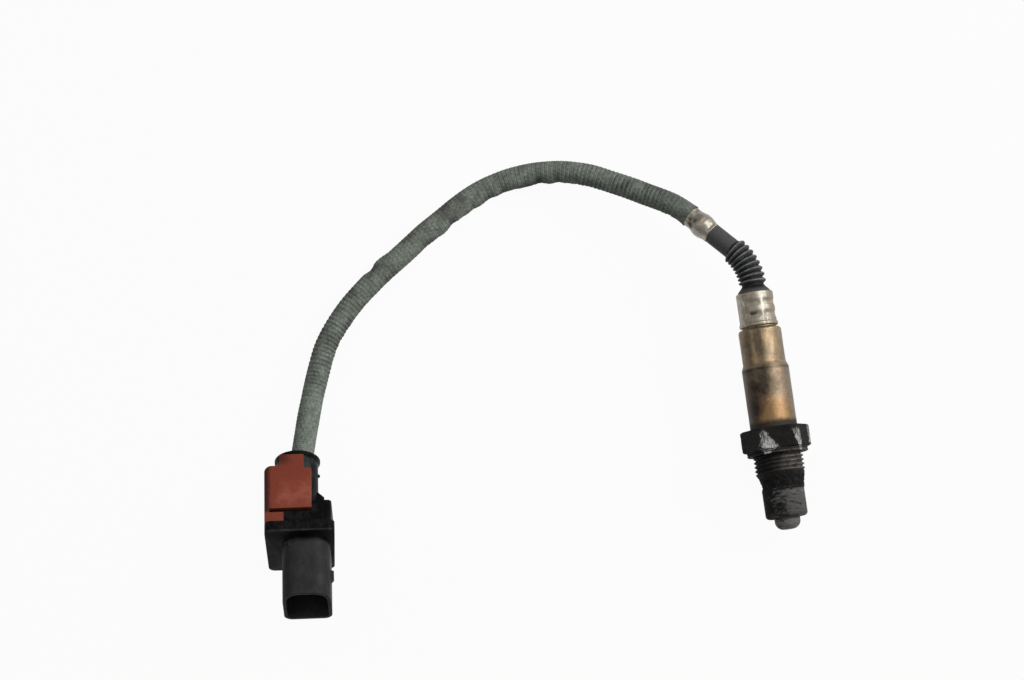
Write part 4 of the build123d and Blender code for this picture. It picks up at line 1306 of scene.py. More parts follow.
@dataclass
class SensorBody:
    """The metal sensor: protection tube, threaded shell, ring, housing sleeve and collar."""

    tube_radius: float = 7.55
    tube_back: float = 14.7
    thread_front: float = 20.3
    thread_radius: float = 9.0
    thread_pitch: float = 1.5
    thread_depth: float = 0.8
    worn_radii: Point = (7.6, 8.1)
    ring_front: float = 26.9
    ring_radius: float = 11.0
    seat: float = 28.6
    flat: float = 11.0
    lower_radius: float = 8.45
    cone_back: float = 59.9
    upper_radius: float = 7.7
    upper_back: float = 72.2
    neck_radius: float = 6.0
    wall: float = 0.5
    collar_front: float = 73.2
    collar_radius: float = 6.65
    bead_radius: float = 7.0
    tube_edge: float = 0.12
    nub_edge: float = 0.1

    def build(self) -> None:
        """Make every piece of the sensor's body."""
        tube = softened("outer_protection_tube", self.tube_edge)
        finished("protection_tube", tube, TUBE, ["outer_protection_tube"])
        nub = softened("inner_protection_tube", self.nub_edge)
        finished("nub", nub, NUB, ["inner_protection_tube"])
        self._thread()
        self._hexagon()
        self._ring()
        self._sleeve()
        self._collar()

    def _thread(self) -> None:
        """Cut the thread with Geometry Nodes and wear its front end away."""
        tube, inner, outer = self.tube_radius, self.tube_radius - 0.6, self.thread_radius
        low, high = self.tube_back - 1.5, self.seat + 0.3
        outline = [
            (inner, low),
            (tube - 0.35, low),
            (tube + 0.35, self.tube_back - 0.2),
            (outer - 0.9, self.tube_back + 0.9),
            (outer - 0.35, self.thread_front - 0.8),
            (outer, self.thread_front + 0.3),
            (outer, self.ring_front - 0.2),
            (outer - 0.8, self.ring_front + 0.2),
            (outer - 0.8, high),
            (inner, high),
        ]
        plain = turned("thread_core", divided(outline, 0.16), SENSOR, segments=168)
        plain.transform(SENSOR.matrix.inverted())
        holder = placed("thread_core", plain)
        sizes = {"Pitch": self.thread_pitch, "Depth": self.thread_depth}
        sizes["Start"] = self.thread_front
        graph = GeometryGraph("cut_thread", sizes)
        position = graph.node("GeometryNodeInputPosition").outputs[0]
        x, y, station = graph.split(position)
        angle = graph.math("ARCTAN2", y, x)
        radius = graph.math("SQRT", x * x + y * y)
        phase = graph.math("FRACT", station / graph.size("Pitch") - angle / (2 * math.pi))
        ridge = graph.limit(abs(phase * 2 - 1) * 1.5 - 0.25)
        outside = graph.rise(radius, *self.worn_radii)
        start = graph.size("Start")
        clear = graph.limit((station - start + 0.6) * 0.9)
        clear = clear * graph.limit((self.ring_front + 0.1 - station) * 3.0)
        ragged = graph.noise(position, 0.55, 5.0, 0.6)
        fine = graph.noise(position, 1.7, 4.0, 0.6)
        cut = graph.size("Depth") * (1 - ridge) * clear * (0.7 + 0.5 * ragged)
        worn = graph.limit((start - station) * 0.4) * outside
        loss = worn * graph.rise(ragged * 0.5 + fine * 0.5, 0.34, 0.7) * 0.8
        lean = graph.rise(x, 2.0, -8.0) * worn * 0.55
        wear = cut * outside + loss + lean + outside * fine * 0.16
        scale = (radius - wear) / radius
        inputs = {0: x * scale, 1: y * scale, 2: station}
        moved = graph.node("ShaderNodeCombineXYZ", inputs=inputs).outputs[0]
        inputs = {"Geometry": graph.entry.outputs[0], "Position": moved}
        geometry = graph.node("GeometryNodeSetPosition", inputs=inputs).outputs[0]
        graph.close(graph.store(geometry, "crest", ridge * clear), SHELL.material())
        mesh = graph.apply(holder)
        mesh.transform(SENSOR.matrix)
        finished("mounting_thread", smoothed(mesh, 50), SHELL)

    def _hexagon(self) -> None:
        """The hexagon with both its chamfers, bruised at its corners."""
        middle = (self.seat + HEX_BACK) / 2
        half = (HEX_BACK - self.seat) / 2
        corner = self.flat / math.cos(math.pi / 6)
        bore = self.lower_radius - self.wall - 0.05
        sixth = math.pi / 3
        blunt, blunt_angle, bruise, skin = 0.28, 0.045, 0.16, 1.6

        def across(radius: float, station: float, angle: float) -> float:
            """Pull a round blank in to the flats, and inside the chamfer's cone.

            Args:
                radius: The blank's radius.
                station: Millimetres along it.
                angle: The angle round it.

            Returns:
                What is added to the radius.
            """
            if radius < corner - skin:
                return 0.0
            sector = (angle + sixth / 2) % sixth - sixth / 2
            away = sixth / 2 - abs(sector)
            side = self.flat / math.cos(away)
            side -= blunt * max(0.0, 1 - abs(sector) / blunt_angle)
            side -= bruise * max(0.0, uneven(angle, station, 0.25, 1.7))
            return min(side, radius) - radius

        chamfer, rise = 1.0, 0.58
        outline = [
            (bore, self.seat + 0.02),
            (corner - chamfer - 1.5, self.seat + 0.02),
            (corner - chamfer, self.seat + 0.02),
            (corner, self.seat + rise),
            (corner, middle),
            (corner, HEX_BACK - rise),
            (corner - chamfer, HEX_BACK),
            (corner - chamfer - 1.5, HEX_BACK),
            (bore, HEX_BACK),
        ]
        step = half / 14
        outline = divided(rounded(outline, {3: 0.25, 5: 0.25, 2: 0.2, 6: 0.2}, 3), step)
        mesh = turned("hexagon", outline, SENSOR, segments=240, shape=across)
        finished("hexagon", mesh, SHELL, ["metal_shell"])

    def _ring(self) -> None:
        """The folded sealing ring: two lips with a groove between them."""
        inner, outer = self.thread_radius - 0.65, self.ring_radius
        low, high = self.ring_front, self.seat
        middle = (low + high) / 2
        half_gap, groove, squash = 0.12, 0.7, 0.1
        outline = rounded(
            [
                (inner, low),
                (outer, low),
                (outer, middle - half_gap),
                (outer - groove, middle),
                (outer, middle + half_gap),
                (outer, high),
                (inner, high),
            ],
            {1: 0.38, 2: 0.3, 4: 0.3, 5: 0.38},
            4,
        )

        def dented(radius: float, station: float, angle: float) -> float:
            """Squash the ring's edge unevenly."""
            out = max(0.0, radius - inner - 1)
            return -squash * out * max(0.0, uneven(angle, station, 0.1, 2.3))

        mesh = turned("sealing_ring", divided(outline, 0.5), SENSOR, shape=dented)
        finished("crush_ring", mesh, RING, ["sealing_ring"])

    def _sleeve(self) -> None:
        """The drawn housing sleeve with its soft shoulders and slight dents."""
        low, up, neck = self.lower_radius, self.upper_radius, self.neck_radius
        front, back = HEX_BACK + 0.02, COLLAR_BACK - 2.0
        outer = [
            (low, front),
            (low, CONE_FRONT),
            (up, self.cone_back),
            (up, self.upper_back),
            (neck, self.upper_back + 0.5),
            (neck, back),
        ]
        inner = [
            (neck - self.wall, back),
            (neck - self.wall, self.upper_back - 0.2),
            (up - self.wall, self.upper_back - 0.9),
            (up - self.wall, self.cone_back),
            (low - self.wall, CONE_FRONT),
            (low - self.wall, front),
        ]
        corners = {1: 0.9, 2: 0.9, 3: 1.25, 4: 0.3}
        press = 0.07

        def dented(radius: float, station: float, angle: float) -> float:
            """Press the sheet in a little, here and there."""
            return press * uneven(angle, station, 0.12, 1.3)

        outline = divided(rounded(outer + inner, corners, 6), 1.2)
        mesh = turned("housing_sleeve", outline, SENSOR, shape=dented)
        finished("sleeve_skin", mesh, SLEEVE, ["housing_sleeve"])

    def _collar(self) -> None:
        """The crimped collar: a rolled bead and two rows of dents."""
        front, back = self.collar_front, COLLAR_BACK
        rows = [front + share * (back - front) for share in (0.33, 0.68)]
        crimp = Crimp(
            rows, count=7, half_width=2.95, half_length=1.6, depth=0.4, radius=self.collar_radius
        )
        inner, lip = self.neck_radius + 0.05, 6.15
        outer, bead = self.collar_radius, self.bead_radius
        bead_back, step_back, inset = front + 1.1, front + 1.5, back - 1.2
        outline = [
            (inner, front),
            (bead, front),
            (bead, bead_back),
            (outer, step_back),
            (outer, back),
            (lip, back),
            (lip, inset),
            (inner, inset),
        ]
        outline = divided(rounded(outline, {1: 0.5, 2: 0.45, 3: 0.4, 4: 0.4}, 5), 0.22)
        dents = {"shape": crimp.dent, "mark": "dent", "marker": crimp.mark}
        mesh = turned("crimp_collar", outline, SENSOR, segments=196, **dents)
        finished("collar_skin", mesh, COLLAR, ["crimp_collar"])


@dataclass(frozen=True)
class Crimp:
    """Rows of dents that a crimping tool leaves round a tube.

    The middle share of each dent is flat, and the dents are darker on the side at the darkest
    angle.
    """

    rows: Sequence[float]
    count: int
    half_width: float
    half_length: float
    depth: float
    radius: float
    wall: float = 0.4
    flat: float = 0.4
    darkest_angle: float = -1.95

    def into(self, radius: float, station: float, angle: float) -> float:
        """How far into a dent a point is.

        Args:
            radius: The point's radius before the crimp.
            station: Millimetres along the tube.
            angle: The angle round it.

        Returns:
            0 outside the dents to 1 in the middle of one.
        """
        if radius < self.radius - self.wall:
            return 0.0
        turn = 2 * math.pi / self.count
        off = (angle + turn / 2) % turn - turn / 2
        side = abs(off) * self.radius / self.half_width
        level = min(abs(station - row) for row in self.rows) / self.half_length
        return bell(max(0.0, side - self.flat) / (1 - self.flat)) * bell(level)

    def mark(self, radius: float, station: float, angle: float) -> float:
        """How dark a point is made: the dents on one side are darker.

        Args:
            radius: The point's radius before the crimp.
            station: Millimetres along the tube.
            angle: The angle round it.

        Returns:
            The darkening, 0 to 1.
        """
        facing = 0.5 + 0.5 * math.cos(angle - self.darkest_angle)
        level = 0.55 + 0.45 * (abs(station - self.rows[0]) < self.half_length)
        return self.into(radius, station - 0.35, angle) * (0.08 + 0.92 * facing**16) * level

    def dent(self, radius: float, station: float, angle: float) -> float:
        """What the tool takes from the radius."""
        return -self.depth * self.into(radius, station, angle)


# --- Boot and ferrule ---


@dataclass
class BootAndFerrule:
    """The bellows boot, which follows its own bend, and the ferrule after it."""

    base_radius: float = 6.05
    cone_length: float = 3.3
    valley: float = 3.95
    crest: float = 5.0
    ridges: float = 8.0
    bend_radius: float = 20.0
    heading: float = 40.0
    slope: float = -7.0
    tube_radius: float = 3.7
    tube_length: float = 9.9
    spigot_length: float = 7.0
    ferrule_length: float = 10.5
    ferrule_end: float = 3.85
    ferrule_bulge: float = 4.5
    tail_radius: float = 3.4
    tail_length: float = 3.4
    foot_lap: float = 1.1
    spigot_short: float = 0.4
    spigot_step: float = 0.4
    step: float = 0.1
    sides: int = 88

    def __post_init__(self) -> None:
        """Work out the bend from the sensor's axis to the boot's own heading."""
        turn, slope = math.radians(self.heading), math.radians(self.slope)
        self.ahead = Vector(SENSOR.ahead).normalized()
        self.leaving = Vector(
            (-math.sin(turn) * math.cos(slope), math.cos(turn) * math.cos(slope), math.sin(slope))
        )
        self.turn = self.ahead.angle(self.leaving)
        self.start = Vector(SENSOR.origin) + self.ahead * (COLLAR_BACK + self.cone_length)
        self.side = (self.leaving - self.ahead * self.ahead.dot(self.leaving)).normalized()

    def arc(self, share: float) -> Vector:
        """Walk along the bend's centre line.

        Args:
            share: The part of the bend's turn that is behind.

        Returns:
            The place, in millimetres.
        """
        angle = share * self.turn
        across, on = 1 - math.cos(angle), math.sin(angle)
        return self.start + (self.side * across + self.ahead * on) * self.bend_radius

    @property
    def ferrule_stand(self) -> Stand:
        """Where the ferrule starts, at the boot tube's end."""
        origin = self.arc(1) + self.leaving * self.tube_length
        return Stand(tuple(origin), tuple(self.leaving), (1.0, 0.0, 0.0))

    def build(self) -> None:
        """Make the boot and the ferrule."""
        self._boot()
        self._ferrule()

    def _boot(self) -> None:
        """Sweep a circle along the bend with Geometry Nodes, scaled to cone, folds and tube."""
        foot = self.cone_length + self.foot_lap
        bellows = self.turn * self.bend_radius
        plug = self.tube_length + self.spigot_length - self.spigot_short
        steps, straights = 40, 6
        points = [self.start - self.ahead * foot, self.start - self.ahead * (foot / 2)]
        points += [self.arc(k / steps) for k in range(steps + 1)]
        reached = [plug * (k + 1) / straights for k in range(straights)]
        points += [self.arc(1) + self.leaving * reach for reach in reached]
        sizes = {"Foot": foot, "Bellows": bellows, "Valley": self.valley, "Crest": self.crest}
        sizes |= {"Ridges": self.ridges, "Base": self.base_radius - 0.05}
        sizes["Tube"] = self.tube_radius
        graph = GeometryGraph("sweep_bellows", sizes)
        inputs = {"Curve": graph.entry.outputs[0], "Length": self.step * MM}
        fine = graph.node("GeometryNodeResampleCurve", {"mode": "LENGTH"}, inputs).outputs[0]
        length = Value(graph, graph.node("GeometryNodeSplineParameter").outputs["Length"]) / MM
        into = length - graph.size("Foot")
        beyond = into - graph.size("Bellows")
        share = graph.limit(into / graph.size("Bellows"))
        wave = graph.math("COSINE", share * graph.size("Ridges") * (2 * math.pi))
        ripple = graph.limit(0.5 - 0.5 * wave) ** 0.75
        ridge = ripple * graph.rise(into, -0.15, 0.15) * graph.rise(beyond, 0.15, -0.15)
        cone = graph.rise(into, -0.1, -3.35)
        after = graph.rise(beyond, -0.1, 0.7)
        valley = graph.size("Valley")
        radius = valley + cone * (graph.size("Base") - valley)
        radius = radius + after * (graph.size("Tube") - valley)
        radius = radius + ridge * (graph.size("Crest") - valley)
        spigot = self.tube_length + bellows
        radius = radius - graph.rise(into, spigot - 0.1, spigot) * self.spigot_step
        stored = graph.store(fine, "crest", ridge * 0.9 + (after + cone) * 0.43)
        inputs = {"Resolution": self.sides, "Radius": 1.0}
        circle = graph.node("GeometryNodeCurvePrimitiveCircle", inputs=inputs)
        inputs = {"Curve": stored, "Profile Curve": circle.outputs[0]}
        inputs |= {"Scale": radius * MM, "Fill Caps": True}
        tube = graph.node("GeometryNodeCurveToMesh", inputs=inputs).outputs[0]
        graph.close(tube, BOOT.material())
        mesh = outward(graph.apply(path("boot_path", Run.STRAIGHT, points)))
        finished("bellows_skin", smoothed(mesh, 60), BOOT, ["bellows_boot"])

    def _ferrule(self) -> None:
        """The ferrule: a swollen middle, a crimped end and a tail under the sleeve."""
        length, end, bulge = self.ferrule_length, self.ferrule_end, self.ferrule_bulge
        back, lip = length + self.tail_length, self.spigot_length + 0.05
        mouth, bore = 3.4, 3.05
        outline = [
            (mouth, 0.0),
            (end, 0.0),
            (end, 0.12 * length),
            (bulge, 0.36 * length),
            (bulge, 0.52 * length),
            (end, 0.78 * length),
            (end, length),
            (self.tail_radius, length + 0.02),
            (self.tail_radius, back),
            (bore, back),
            (bore, lip),
            (mouth, lip),
        ]
        corners = {1: 0.25, 2: 0.8, 3: 1.3, 4: 1.3, 5: 0.9, 6: 0.25}
        crimp = Crimp(
            [0.88 * length], count=6, half_width=1.7, half_length=1.5, depth=0.42, radius=end
        )

        def hammered(radius: float, station: float, angle: float) -> float:
            """The crimps, and an uneven swelling between them."""
            swollen = 0.16 * uneven(angle, station, 0.3, 1.6) if radius > end - 0.1 else 0.0
            return crimp.dent(radius, station, angle) + swollen

        def stained(radius: float, station: float, angle: float) -> float:
            """Dark spots on the ferrule's inner side, and darkening in its crimps.

            Args:
                radius: The point's radius before the crimp.
                station: Millimetres along the ferrule.
                angle: The angle round it.

            Returns:
                The darkening, 0 to 1.
            """
            spots = ((0.66, -2.0, 0.15, 0.5), (0.86, -2.2, 0.12, 0.5), (0.74, -2.7, 0.28, 0.7))
            found = 0.6 * crimp.into(radius, station, angle)
            for share, turn, reach, spread in spots:
                off = (angle - turn + math.pi) % (2 * math.pi) - math.pi
                spot = bell((station / length - share) / reach) * bell(off / spread)
                found = max(found, spot)
            return found

        stand = self.ferrule_stand
        finish = StainedSteel("stained_ferrule_steel", stand, (0.4, 0.375, 0.33), roughness=0.42)
        outline = divided(rounded(outline, corners, 5), 0.25)
        dents = {"shape": hammered, "mark": "dent", "marker": stained}
        mesh = turned("boot_ferrule", outline, stand, segments=112, **dents)
        finished("ferrule_skin", mesh, finish, ["boot_ferrule"])


def outward(mesh: bpy.types.Mesh) -> bpy.types.Mesh:
    """Merge a mesh's doubles and point its faces outwards.

    Args:
        mesh: The mesh, changed in place.

    Returns:
        The same mesh.
    """
    shell = bmesh.new()
    shell.from_mesh(mesh)
    bmesh.ops.remove_doubles(shell, verts=shell.verts, dist=1e-7)
    bmesh.ops.recalc_face_normals(shell, faces=shell.faces)
    shell.to_mesh(mesh)
    shell.free()
    return mesh


# --- Cable ---


@dataclass
class SleevedCable:
    """The textile sleeve along the cable's route, rucked up on the inside of its bends."""

    diameter: float = 8.1
    wall: float = 0.6
    slack: float = 0.35
    length: float = 0.2154
    step: float = 0.2
    segments: int = 48
    inner_every: int = 12
    fold_pitch: float = 1.6
    fold_height: float = 0.3
    ruck_pitch: float = 5.2
    ruck_height: float = 0.12
    sag: float = 0.16
    flare: float = 0.22
    quiet: Point = (9.0, 24.0)
    lowest: float = 0.02
    ribbed: Sequence[Point] = ((28.0, 26.0), (165.0, 30.0))
    kinks: Sequence[Triple] = ((128.5, 5.0, 0.45), (133.3, 3.2, -0.6))
    lumps: Sequence[Triple] = (
        (53.0, 2.2, -0.35), (56.7, 2.4, 0.4), (60.8, 2.2, -0.4), (67.0, 4.2, 0.45),
        (74.5, 3.0, -0.3), (82.0, 2.6, -0.3), (86.5, 3.2, 0.4), (92.5, 3.0, 0.2),
        (99.0, 2.6, -0.35), (103.5, 3.4, 0.4), (112.0, 4.0, -0.2),
    )
    route: Sequence[Triple] = (
        (-18.03503, 74.44571, 18.26176),
        (-21.99, 79.16, 17.51),
        (-28.0, 83.2, 16.05),
        (-40.1, 91.1, 12.8),
        (-53.7, 99.3, 9.05),
        (-67.0, 102.7, 6.25),
        (-80.9, 102.3, 4.4),
        (-94.2, 98.2, 4.05),
        (-111.0, 87.6, 4.05),
        (-122.7, 79.1, 4.05),
        (-134.2, 71.2, 4.05),
        (-145.8, 60.8, 4.05),
        (-154.2, 50.3, 4.05),
        (-159.4, 37.9, 4.05),
        (-165.3, 19.7, 6.3),
        (-169.99, 1.23, 9.2),
    )

    def line(self) -> list[Vector]:
        """Read the smooth centre line from the route's spline.

        Returns:
            Its points, in millimetres.
        """
        holder = path("cable_route", Run.SMOOTH, self.route, 40)
        spline = holder.data.splines[0]
        spline.order_u = 3
        spline.use_endpoint_u = True
        return [vert.co / MM for vert in baked(holder).vertices]

    def build(self) -> None:
        read = self.line()
        points, reach = self._even(read)
        frames = self._frames(points)
        mesh, ridge = self._tube(points, frames)
        piece = finished("cable_braid", mesh, BRAID, ["cable_sleeve"])
        carried = ["connector_housing", "connector_rear_cap", "secondary_lock", "wire_seal"]
        carried += ["terminal_pins", "pin_carrier", "trim_resistor"]
        log.info("cable_braid: %.1f mm along its line, deepest ruck %.2f mm", reach, ridge)

    def _even(self, read: list[Vector]) -> tuple[list[Vector], float]:
        """Space the line's points evenly.

        Args:
            read: The line as the spline gives it.

        Returns:
            The even points, and the line's length.
        """
        lengths = [0.0]
        for start, end in zip(read, read[1:]):
            lengths.append(lengths[-1] + (end - start).length)
        count = round(lengths[-1] / self.step)
        points, run = [], 0
        for k in range(count + 1):
            target = lengths[-1] * k / count
            while run < len(read) - 2 and lengths[run + 1] < target:
                run += 1
            share = (target - lengths[run]) / (lengths[run + 1] - lengths[run])
            points.append(read[run].lerp(read[run + 1], share))
        return points, lengths[-1]

    @staticmethod
    def _frames(points: list[Vector]) -> list[tuple[Vector, Vector]]:
        """Find two directions across the line at each point.

        Args:
            points: The centre line.

        Returns:
            For each point a level direction, and one that is square to it.
        """
        frames = []
        for i in range(len(points)):
            ahead = (points[min(i + 1, len(points) - 1)] - points[max(i - 1, 0)]).normalized()
            level = ahead.cross(Vector((0, 0, 1))).normalized()
            frames.append((level, level.cross(ahead)))
        return frames

    def _tube(
        self, points: list[Vector], frames: list[tuple[Vector, Vector]]
    ) -> tuple[bpy.types.Mesh, float]:
        """The sleeve's outer and inner walls, with its folds.

        Args:
            points: The centre line.
            frames: The directions across it.

        Returns:
            The mesh and its deepest fold.
        """
        shell = bmesh.new()
        uv = shell.loops.layers.uv.new("braid")
        mark = shell.verts.layers.float.new("fold_shade")
        bends = self._bends(points, frames)
        total = len(points) * self.step
        deepest = 0.0
        outer = []
        for i, (point, frame) in enumerate(zip(points, frames)):
            station = i * self.step
            ring = []
            for angle, across in self._around(frame):
                sunk, fold_shade = self._fold(station, angle, bends[i], total)
                deepest = max(deepest, -sunk)
                place = point + across * (self.diameter / 2 + sunk)
                place.z = max(place.z, self.lowest)
                vert = shell.verts.new(place * MM)
                vert[mark] = fold_shade
                ring.append(vert)
            outer.append((ring, station))
        inner = []
        bore = self.diameter / 2 - self.wall - self.slack
        for point, frame in list(zip(points, frames))[:: self.inner_every]:
            around = self._around(frame)
            ring = [shell.verts.new((point + across * bore) * MM) for _, across in around]
            inner.append((ring, 0.0))
        rings = [*outer, *inner[::-1], (outer[0][0], 0.0)]
        for (low, start), (high, end) in zip(rings, rings[1:]):
            for k in range(self.segments):
                turn = (k + 1) % self.segments
                face = shell.faces.new([low[k], low[turn], high[turn], high[k]])
                edges = ((start, k), (start, k + 1), (end, k + 1), (end, k))
                for loop, (along, around) in zip(face.loops, edges):
                    loop[uv].uv = (along / BRAID_MAP, around / self.segments)
        bmesh.ops.recalc_face_normals(shell, faces=shell.faces)
        mesh = bpy.data.meshes.new("cable_braid")
        shell.to_mesh(mesh)
        shell.free()
        return smoothed(mesh, 70), deepest

    def _around(self, frame: tuple[Vector, Vector]) -> list[tuple[float, Vector]]:
        """Look round the line at one point.

        Args:
            frame: The two directions across the line.

        Returns:
            Each angle, and the direction that it faces.
        """
        level, up = frame
        angles = [2 * math.pi * k / self.segments for k in range(self.segments)]
        return [(angle, level * math.cos(angle) + up * math.sin(angle)) for angle in angles]

    @staticmethod
    def _bends(
        points: list[Vector], frames: list[tuple[Vector, Vector]]
    ) -> list[tuple[float, float]]:
        """Measure how the line bends.

        Args:
            points: The centre line.
            frames: The directions across it.

        Returns:
            For each point how hard it bends, 0 to 1, and the angle of the bend's inside.
        """
        span, hardest = 25, 0.14
        found = []
        for i in range(len(points)):
            low, high = max(i - span, 0), min(i + span, len(points) - 1)
            if low == i or high == i:
                found.append((0.0, 0.0))
                continue
            first, last = points[i] - points[low], points[high] - points[i]
            bend = last.normalized() - first.normalized()
            level, up = frames[i]
            inside = math.atan2(bend.dot(up), bend.dot(level))
            found.append((min(1.0, bend.length / hardest), inside))
        return found

    @staticmethod
    def _along(marks: Sequence[Triple], station: float) -> float:
        """Add up what each mark, a place, reach and size, gives at a station."""
        return sum(size * bell((station - at) / reach) for at, reach, size in marks)

    def _fold(
        self, station: float, angle: float, bend: tuple[float, float], total: float
    ) -> tuple[float, float]:
        """How far the sleeve's surface moves at a point, and how much painted shade it gets in
        the folds.

        Args:
            station: Millimetres along the sleeve.
            angle: The angle round it.
            bend: How hard the line bends there, and the angle of its inside.
            total: The sleeve's length.

        Returns:
            What is added to the radius, and the painted shade in the folds.
        """
        hard, inside = bend
        drift = noise.noise(Vector((station * 0.1, 3.1, 0.7)))
        twist = 0.1 * math.sin(angle + 2.0 * noise.noise(Vector((station * 0.05, 9.0, 2.0))))
        phase = station / self.fold_pitch + 0.6 * drift + twist
        wave = 0.5 + 0.5 * math.cos(2 * math.pi * phase)
        around = Vector((math.cos(angle) * 1.3, math.sin(angle) * 1.3, station * 0.33))
        patch = min(1.0, max(0.0, 0.65 + 0.9 * noise.noise(around)))
        ribs = 0.4 + 0.6 * max(bell((station - at) / reach) for at, reach in self.ribbed)
        ripple = (wave**0.7 - 0.7) * self.fold_height * patch * ribs
        facing = max(0.0, math.cos(angle - inside)) ** 2
        lump = facing * self._along(self.lumps, station)
        ruck = math.sin(2 * math.pi * station / self.ruck_pitch + 5.0 * drift)
        lump += self.ruck_height * hard * facing * ruck
        outside = max(0.0, math.cos(angle - 0.35)) ** 2
        kink = outside * self._along(self.kinks, station)
        sag = self.sag * noise.noise(around * 0.35)
        opening = min(1.0, station / self.quiet[0])
        flare = self.flare * max(0.0, 1 - station / 1.8)
        # Painted shade: the further a point sinks into a ripple, ruck or kink, the darker it is
        # painted.
        shade_in_folds = max(0.0, -ripple / 0.2) * 0.75 + max(0.0, -lump / 0.4) * 0.6
        shade_in_folds += max(0.0, -kink / 0.6) * 0.55
        moved = (ripple + lump + kink + sag) * (0.35 + 0.65 * opening) + flare
        closing = min(1.0, (total - station) / self.quiet[1])
        return moved * max(0.3, closing), shade_in_folds * opening * max(0.25, closing)


# --- Connector ---


@dataclass
class Connector:
    """The connector's visible mouldings: housing, rear cap and lock."""

    edge: float = 0.28
    cap_edge: float = 0.2
    lock_edge: float = 0.35
    lock_round: float = 1.4

    def build(self) -> None:
        """Soften each moulding's edges and dress it."""
        housing = softened("connector_housing", self.edge)
        finished("housing_moulding", housing, BLACK, ["connector_housing"])
        cap = softened("connector_rear_cap", self.cap_edge)
        finished("cap_moulding", cap, CAP, ["connector_rear_cap"])
        lock = softened("secondary_lock", self.lock_edge, 3, first=self._round_lock)
        finished("lock_moulding", lock, RED, ["secondary_lock"])

    def _round_lock(self, shell: bmesh.types.BMesh) -> None:
        """Round the lock's long upper edge on its left.

        Args:
            shell: The lock's merged mesh, in the row frame.
        """
        inward = CONNECTOR.matrix.inverted()
        place = {vert: inward @ vert.co for vert in shell.verts}
        near = 0.05
        left = min(at.x for at in place.values()) + near
        top = max(at.y for at in place.values()) - near
        corner = {vert for vert, at in place.items() if at.x < left and at.y > top}
        edges = [edge for edge in shell.edges if corner.issuperset(edge.verts)]
        bmesh.ops.bevel(
            shell,
            geom=edges,
            offset=self.lock_round * MM,
            segments=6,
            profile=0.5,
            affect="EDGES",
            clamp_overlap=True,
        )


# --- Studio ---


@dataclass(frozen=True)
class Lamp:
    """A soft rectangular lamp."""

    name: str
    place: Triple
    aim: Triple
    size: Point
    power: float

    def build(self) -> None:
        """Hang the lamp and turn it to its aim."""
        light = bpy.data.lights.new(self.name, "AREA")
        light.shape = "RECTANGLE"
        light.size, light.size_y = self.size
        light.energy = self.power
        holder = placed(self.name, light)
        holder.location = self.place
        away = Vector(self.aim) - Vector(self.place)
        holder.rotation_euler = away.to_track_quat("-Z", "Y").to_euler()


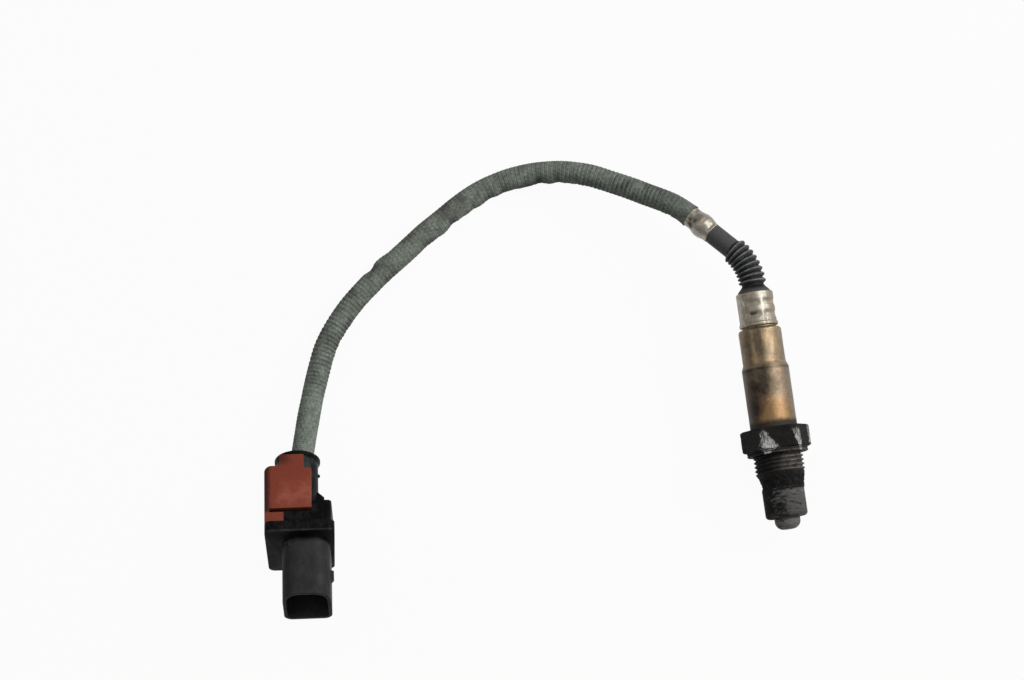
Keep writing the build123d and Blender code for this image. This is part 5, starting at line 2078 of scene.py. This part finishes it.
@dataclass(frozen=True)
class Studio:
    """Camera, floor, lamps and the pale room round the object."""

    place: Triple = (-0.1412, -0.3380, 1.3403)
    look: Triple = (0.0384, 0.2729, -0.9613)
    right: Triple = (0.9903, -0.1392, 0.0)
    lens: float = 135.0
    film: float = 36.0
    clip: Point = (0.01, 20.0)
    zenith: float = 0.42
    horizon: float = 0.06
    floor_size: float = 8.0
    floor_level: float = -0.0001
    floor_grey: Colour = (0.5, 0.5, 0.5)
    floor_white: float = 0.95
    lamps: Sequence[Lamp] = (
        Lamp("key", (0.9, 0.3, 0.95), (-0.05, 0.03, 0.0), (0.35, 1.1), 18.0),
        Lamp("fill", (-0.9, 0.2, 0.9), (-0.1, 0.03, 0.0), (0.9, 0.9), 1.5),
    )

    def build(self) -> None:
        """Set the studio up."""
        bpy.context.scene.view_settings.view_transform = "Standard"
        self._camera()
        self._floor()
        self._room()
        for lamp in self.lamps:
            lamp.build()

    def _camera(self) -> None:
        """Place the camera at its viewing angle."""
        camera = bpy.data.cameras.new("camera")
        camera.lens = self.lens
        camera.sensor_width = self.film
        camera.clip_start, camera.clip_end = self.clip
        holder = placed("camera", camera)
        back = -Vector(self.look).normalized()
        right = Vector(self.right)
        right = (right - back * right.dot(back)).normalized()
        turn = Matrix((right, back.cross(right), back)).transposed()
        holder.matrix_world = Matrix.Translation(Vector(self.place)) @ turn.to_4x4()
        bpy.context.scene.camera = holder

    def _floor(self) -> None:
        """A pale floor, nearly white to the camera and in reflections."""
        half = self.floor_size / 2
        corners = [(-half, -half), (half, -half), (half, half), (-half, half)]
        mesh = bpy.data.meshes.new("floor")
        mesh.from_pydata([(x, y, self.floor_level) for x, y in corners], [], [(0, 1, 2, 3)])
        graph = ShaderGraph("studio_floor")
        graph.surface(Base_Color=self.floor_grey, Roughness=0.9)
        rays = graph.node("ShaderNodeLightPath").outputs
        direct, mirrored, through = (
            Value(graph, rays[f"Is {kind} Ray"]) for kind in ("Camera", "Glossy", "Transmission")
        )
        seen = graph.limit(direct + mirrored + through)
        white = graph.node("ShaderNodeEmission", inputs={"Color": (1, 1, 1), "Strength": 1.0})
        inputs = {0: seen * self.floor_white, 1: graph.shader.outputs[0], 2: white.outputs[0]}
        mixed = graph.node("ShaderNodeMixShader", inputs=inputs)
        graph.feed(graph.output.inputs["Surface"], mixed.outputs[0])
        mesh.materials.append(graph.material)
        floor = placed("floor", mesh)

    def _room(self) -> None:
        """Light from above that fades towards the horizon, as in a pale room."""
        world = bpy.data.worlds.new("room")
        world.use_nodes = True
        graph = Graph(world.node_tree)
        height = graph.split(graph.node("ShaderNodeTexCoord").outputs["Generated"])[2]
        low, high = (
            graph.node("ShaderNodeBackground", inputs={"Color": (1, 1, 1), "Strength": level})
            for level in (self.horizon, self.zenith)
        )
        inputs = {0: graph.limit(height), 1: low.outputs[0], 2: high.outputs[0]}
        room = graph.node("ShaderNodeMixShader", inputs=inputs)
        graph.node("ShaderNodeOutputWorld", inputs={"Surface": room.outputs[0]})
        bpy.context.scene.world = world


def dress_inner_pieces() -> None:
    """Give every CAD node that stays its own finish."""
    for node, finish in INNER.items():
        piece = frame["nodes"][node]
        piece.data.materials.clear()
        piece.data.materials.append(finish.material())
        log.info("%s: %s", node, finish.name)


def main() -> None:
    """Build the studio and every piece in order."""
    logging.basicConfig(level=logging.INFO, format="%(name)s %(message)s")
    Studio().build()
    SleevedCable().build()
    SensorBody().build()
    BootAndFerrule().build()
    Connector().build()
    dress_inner_pieces()


if __name__ == "__main__":
    main()
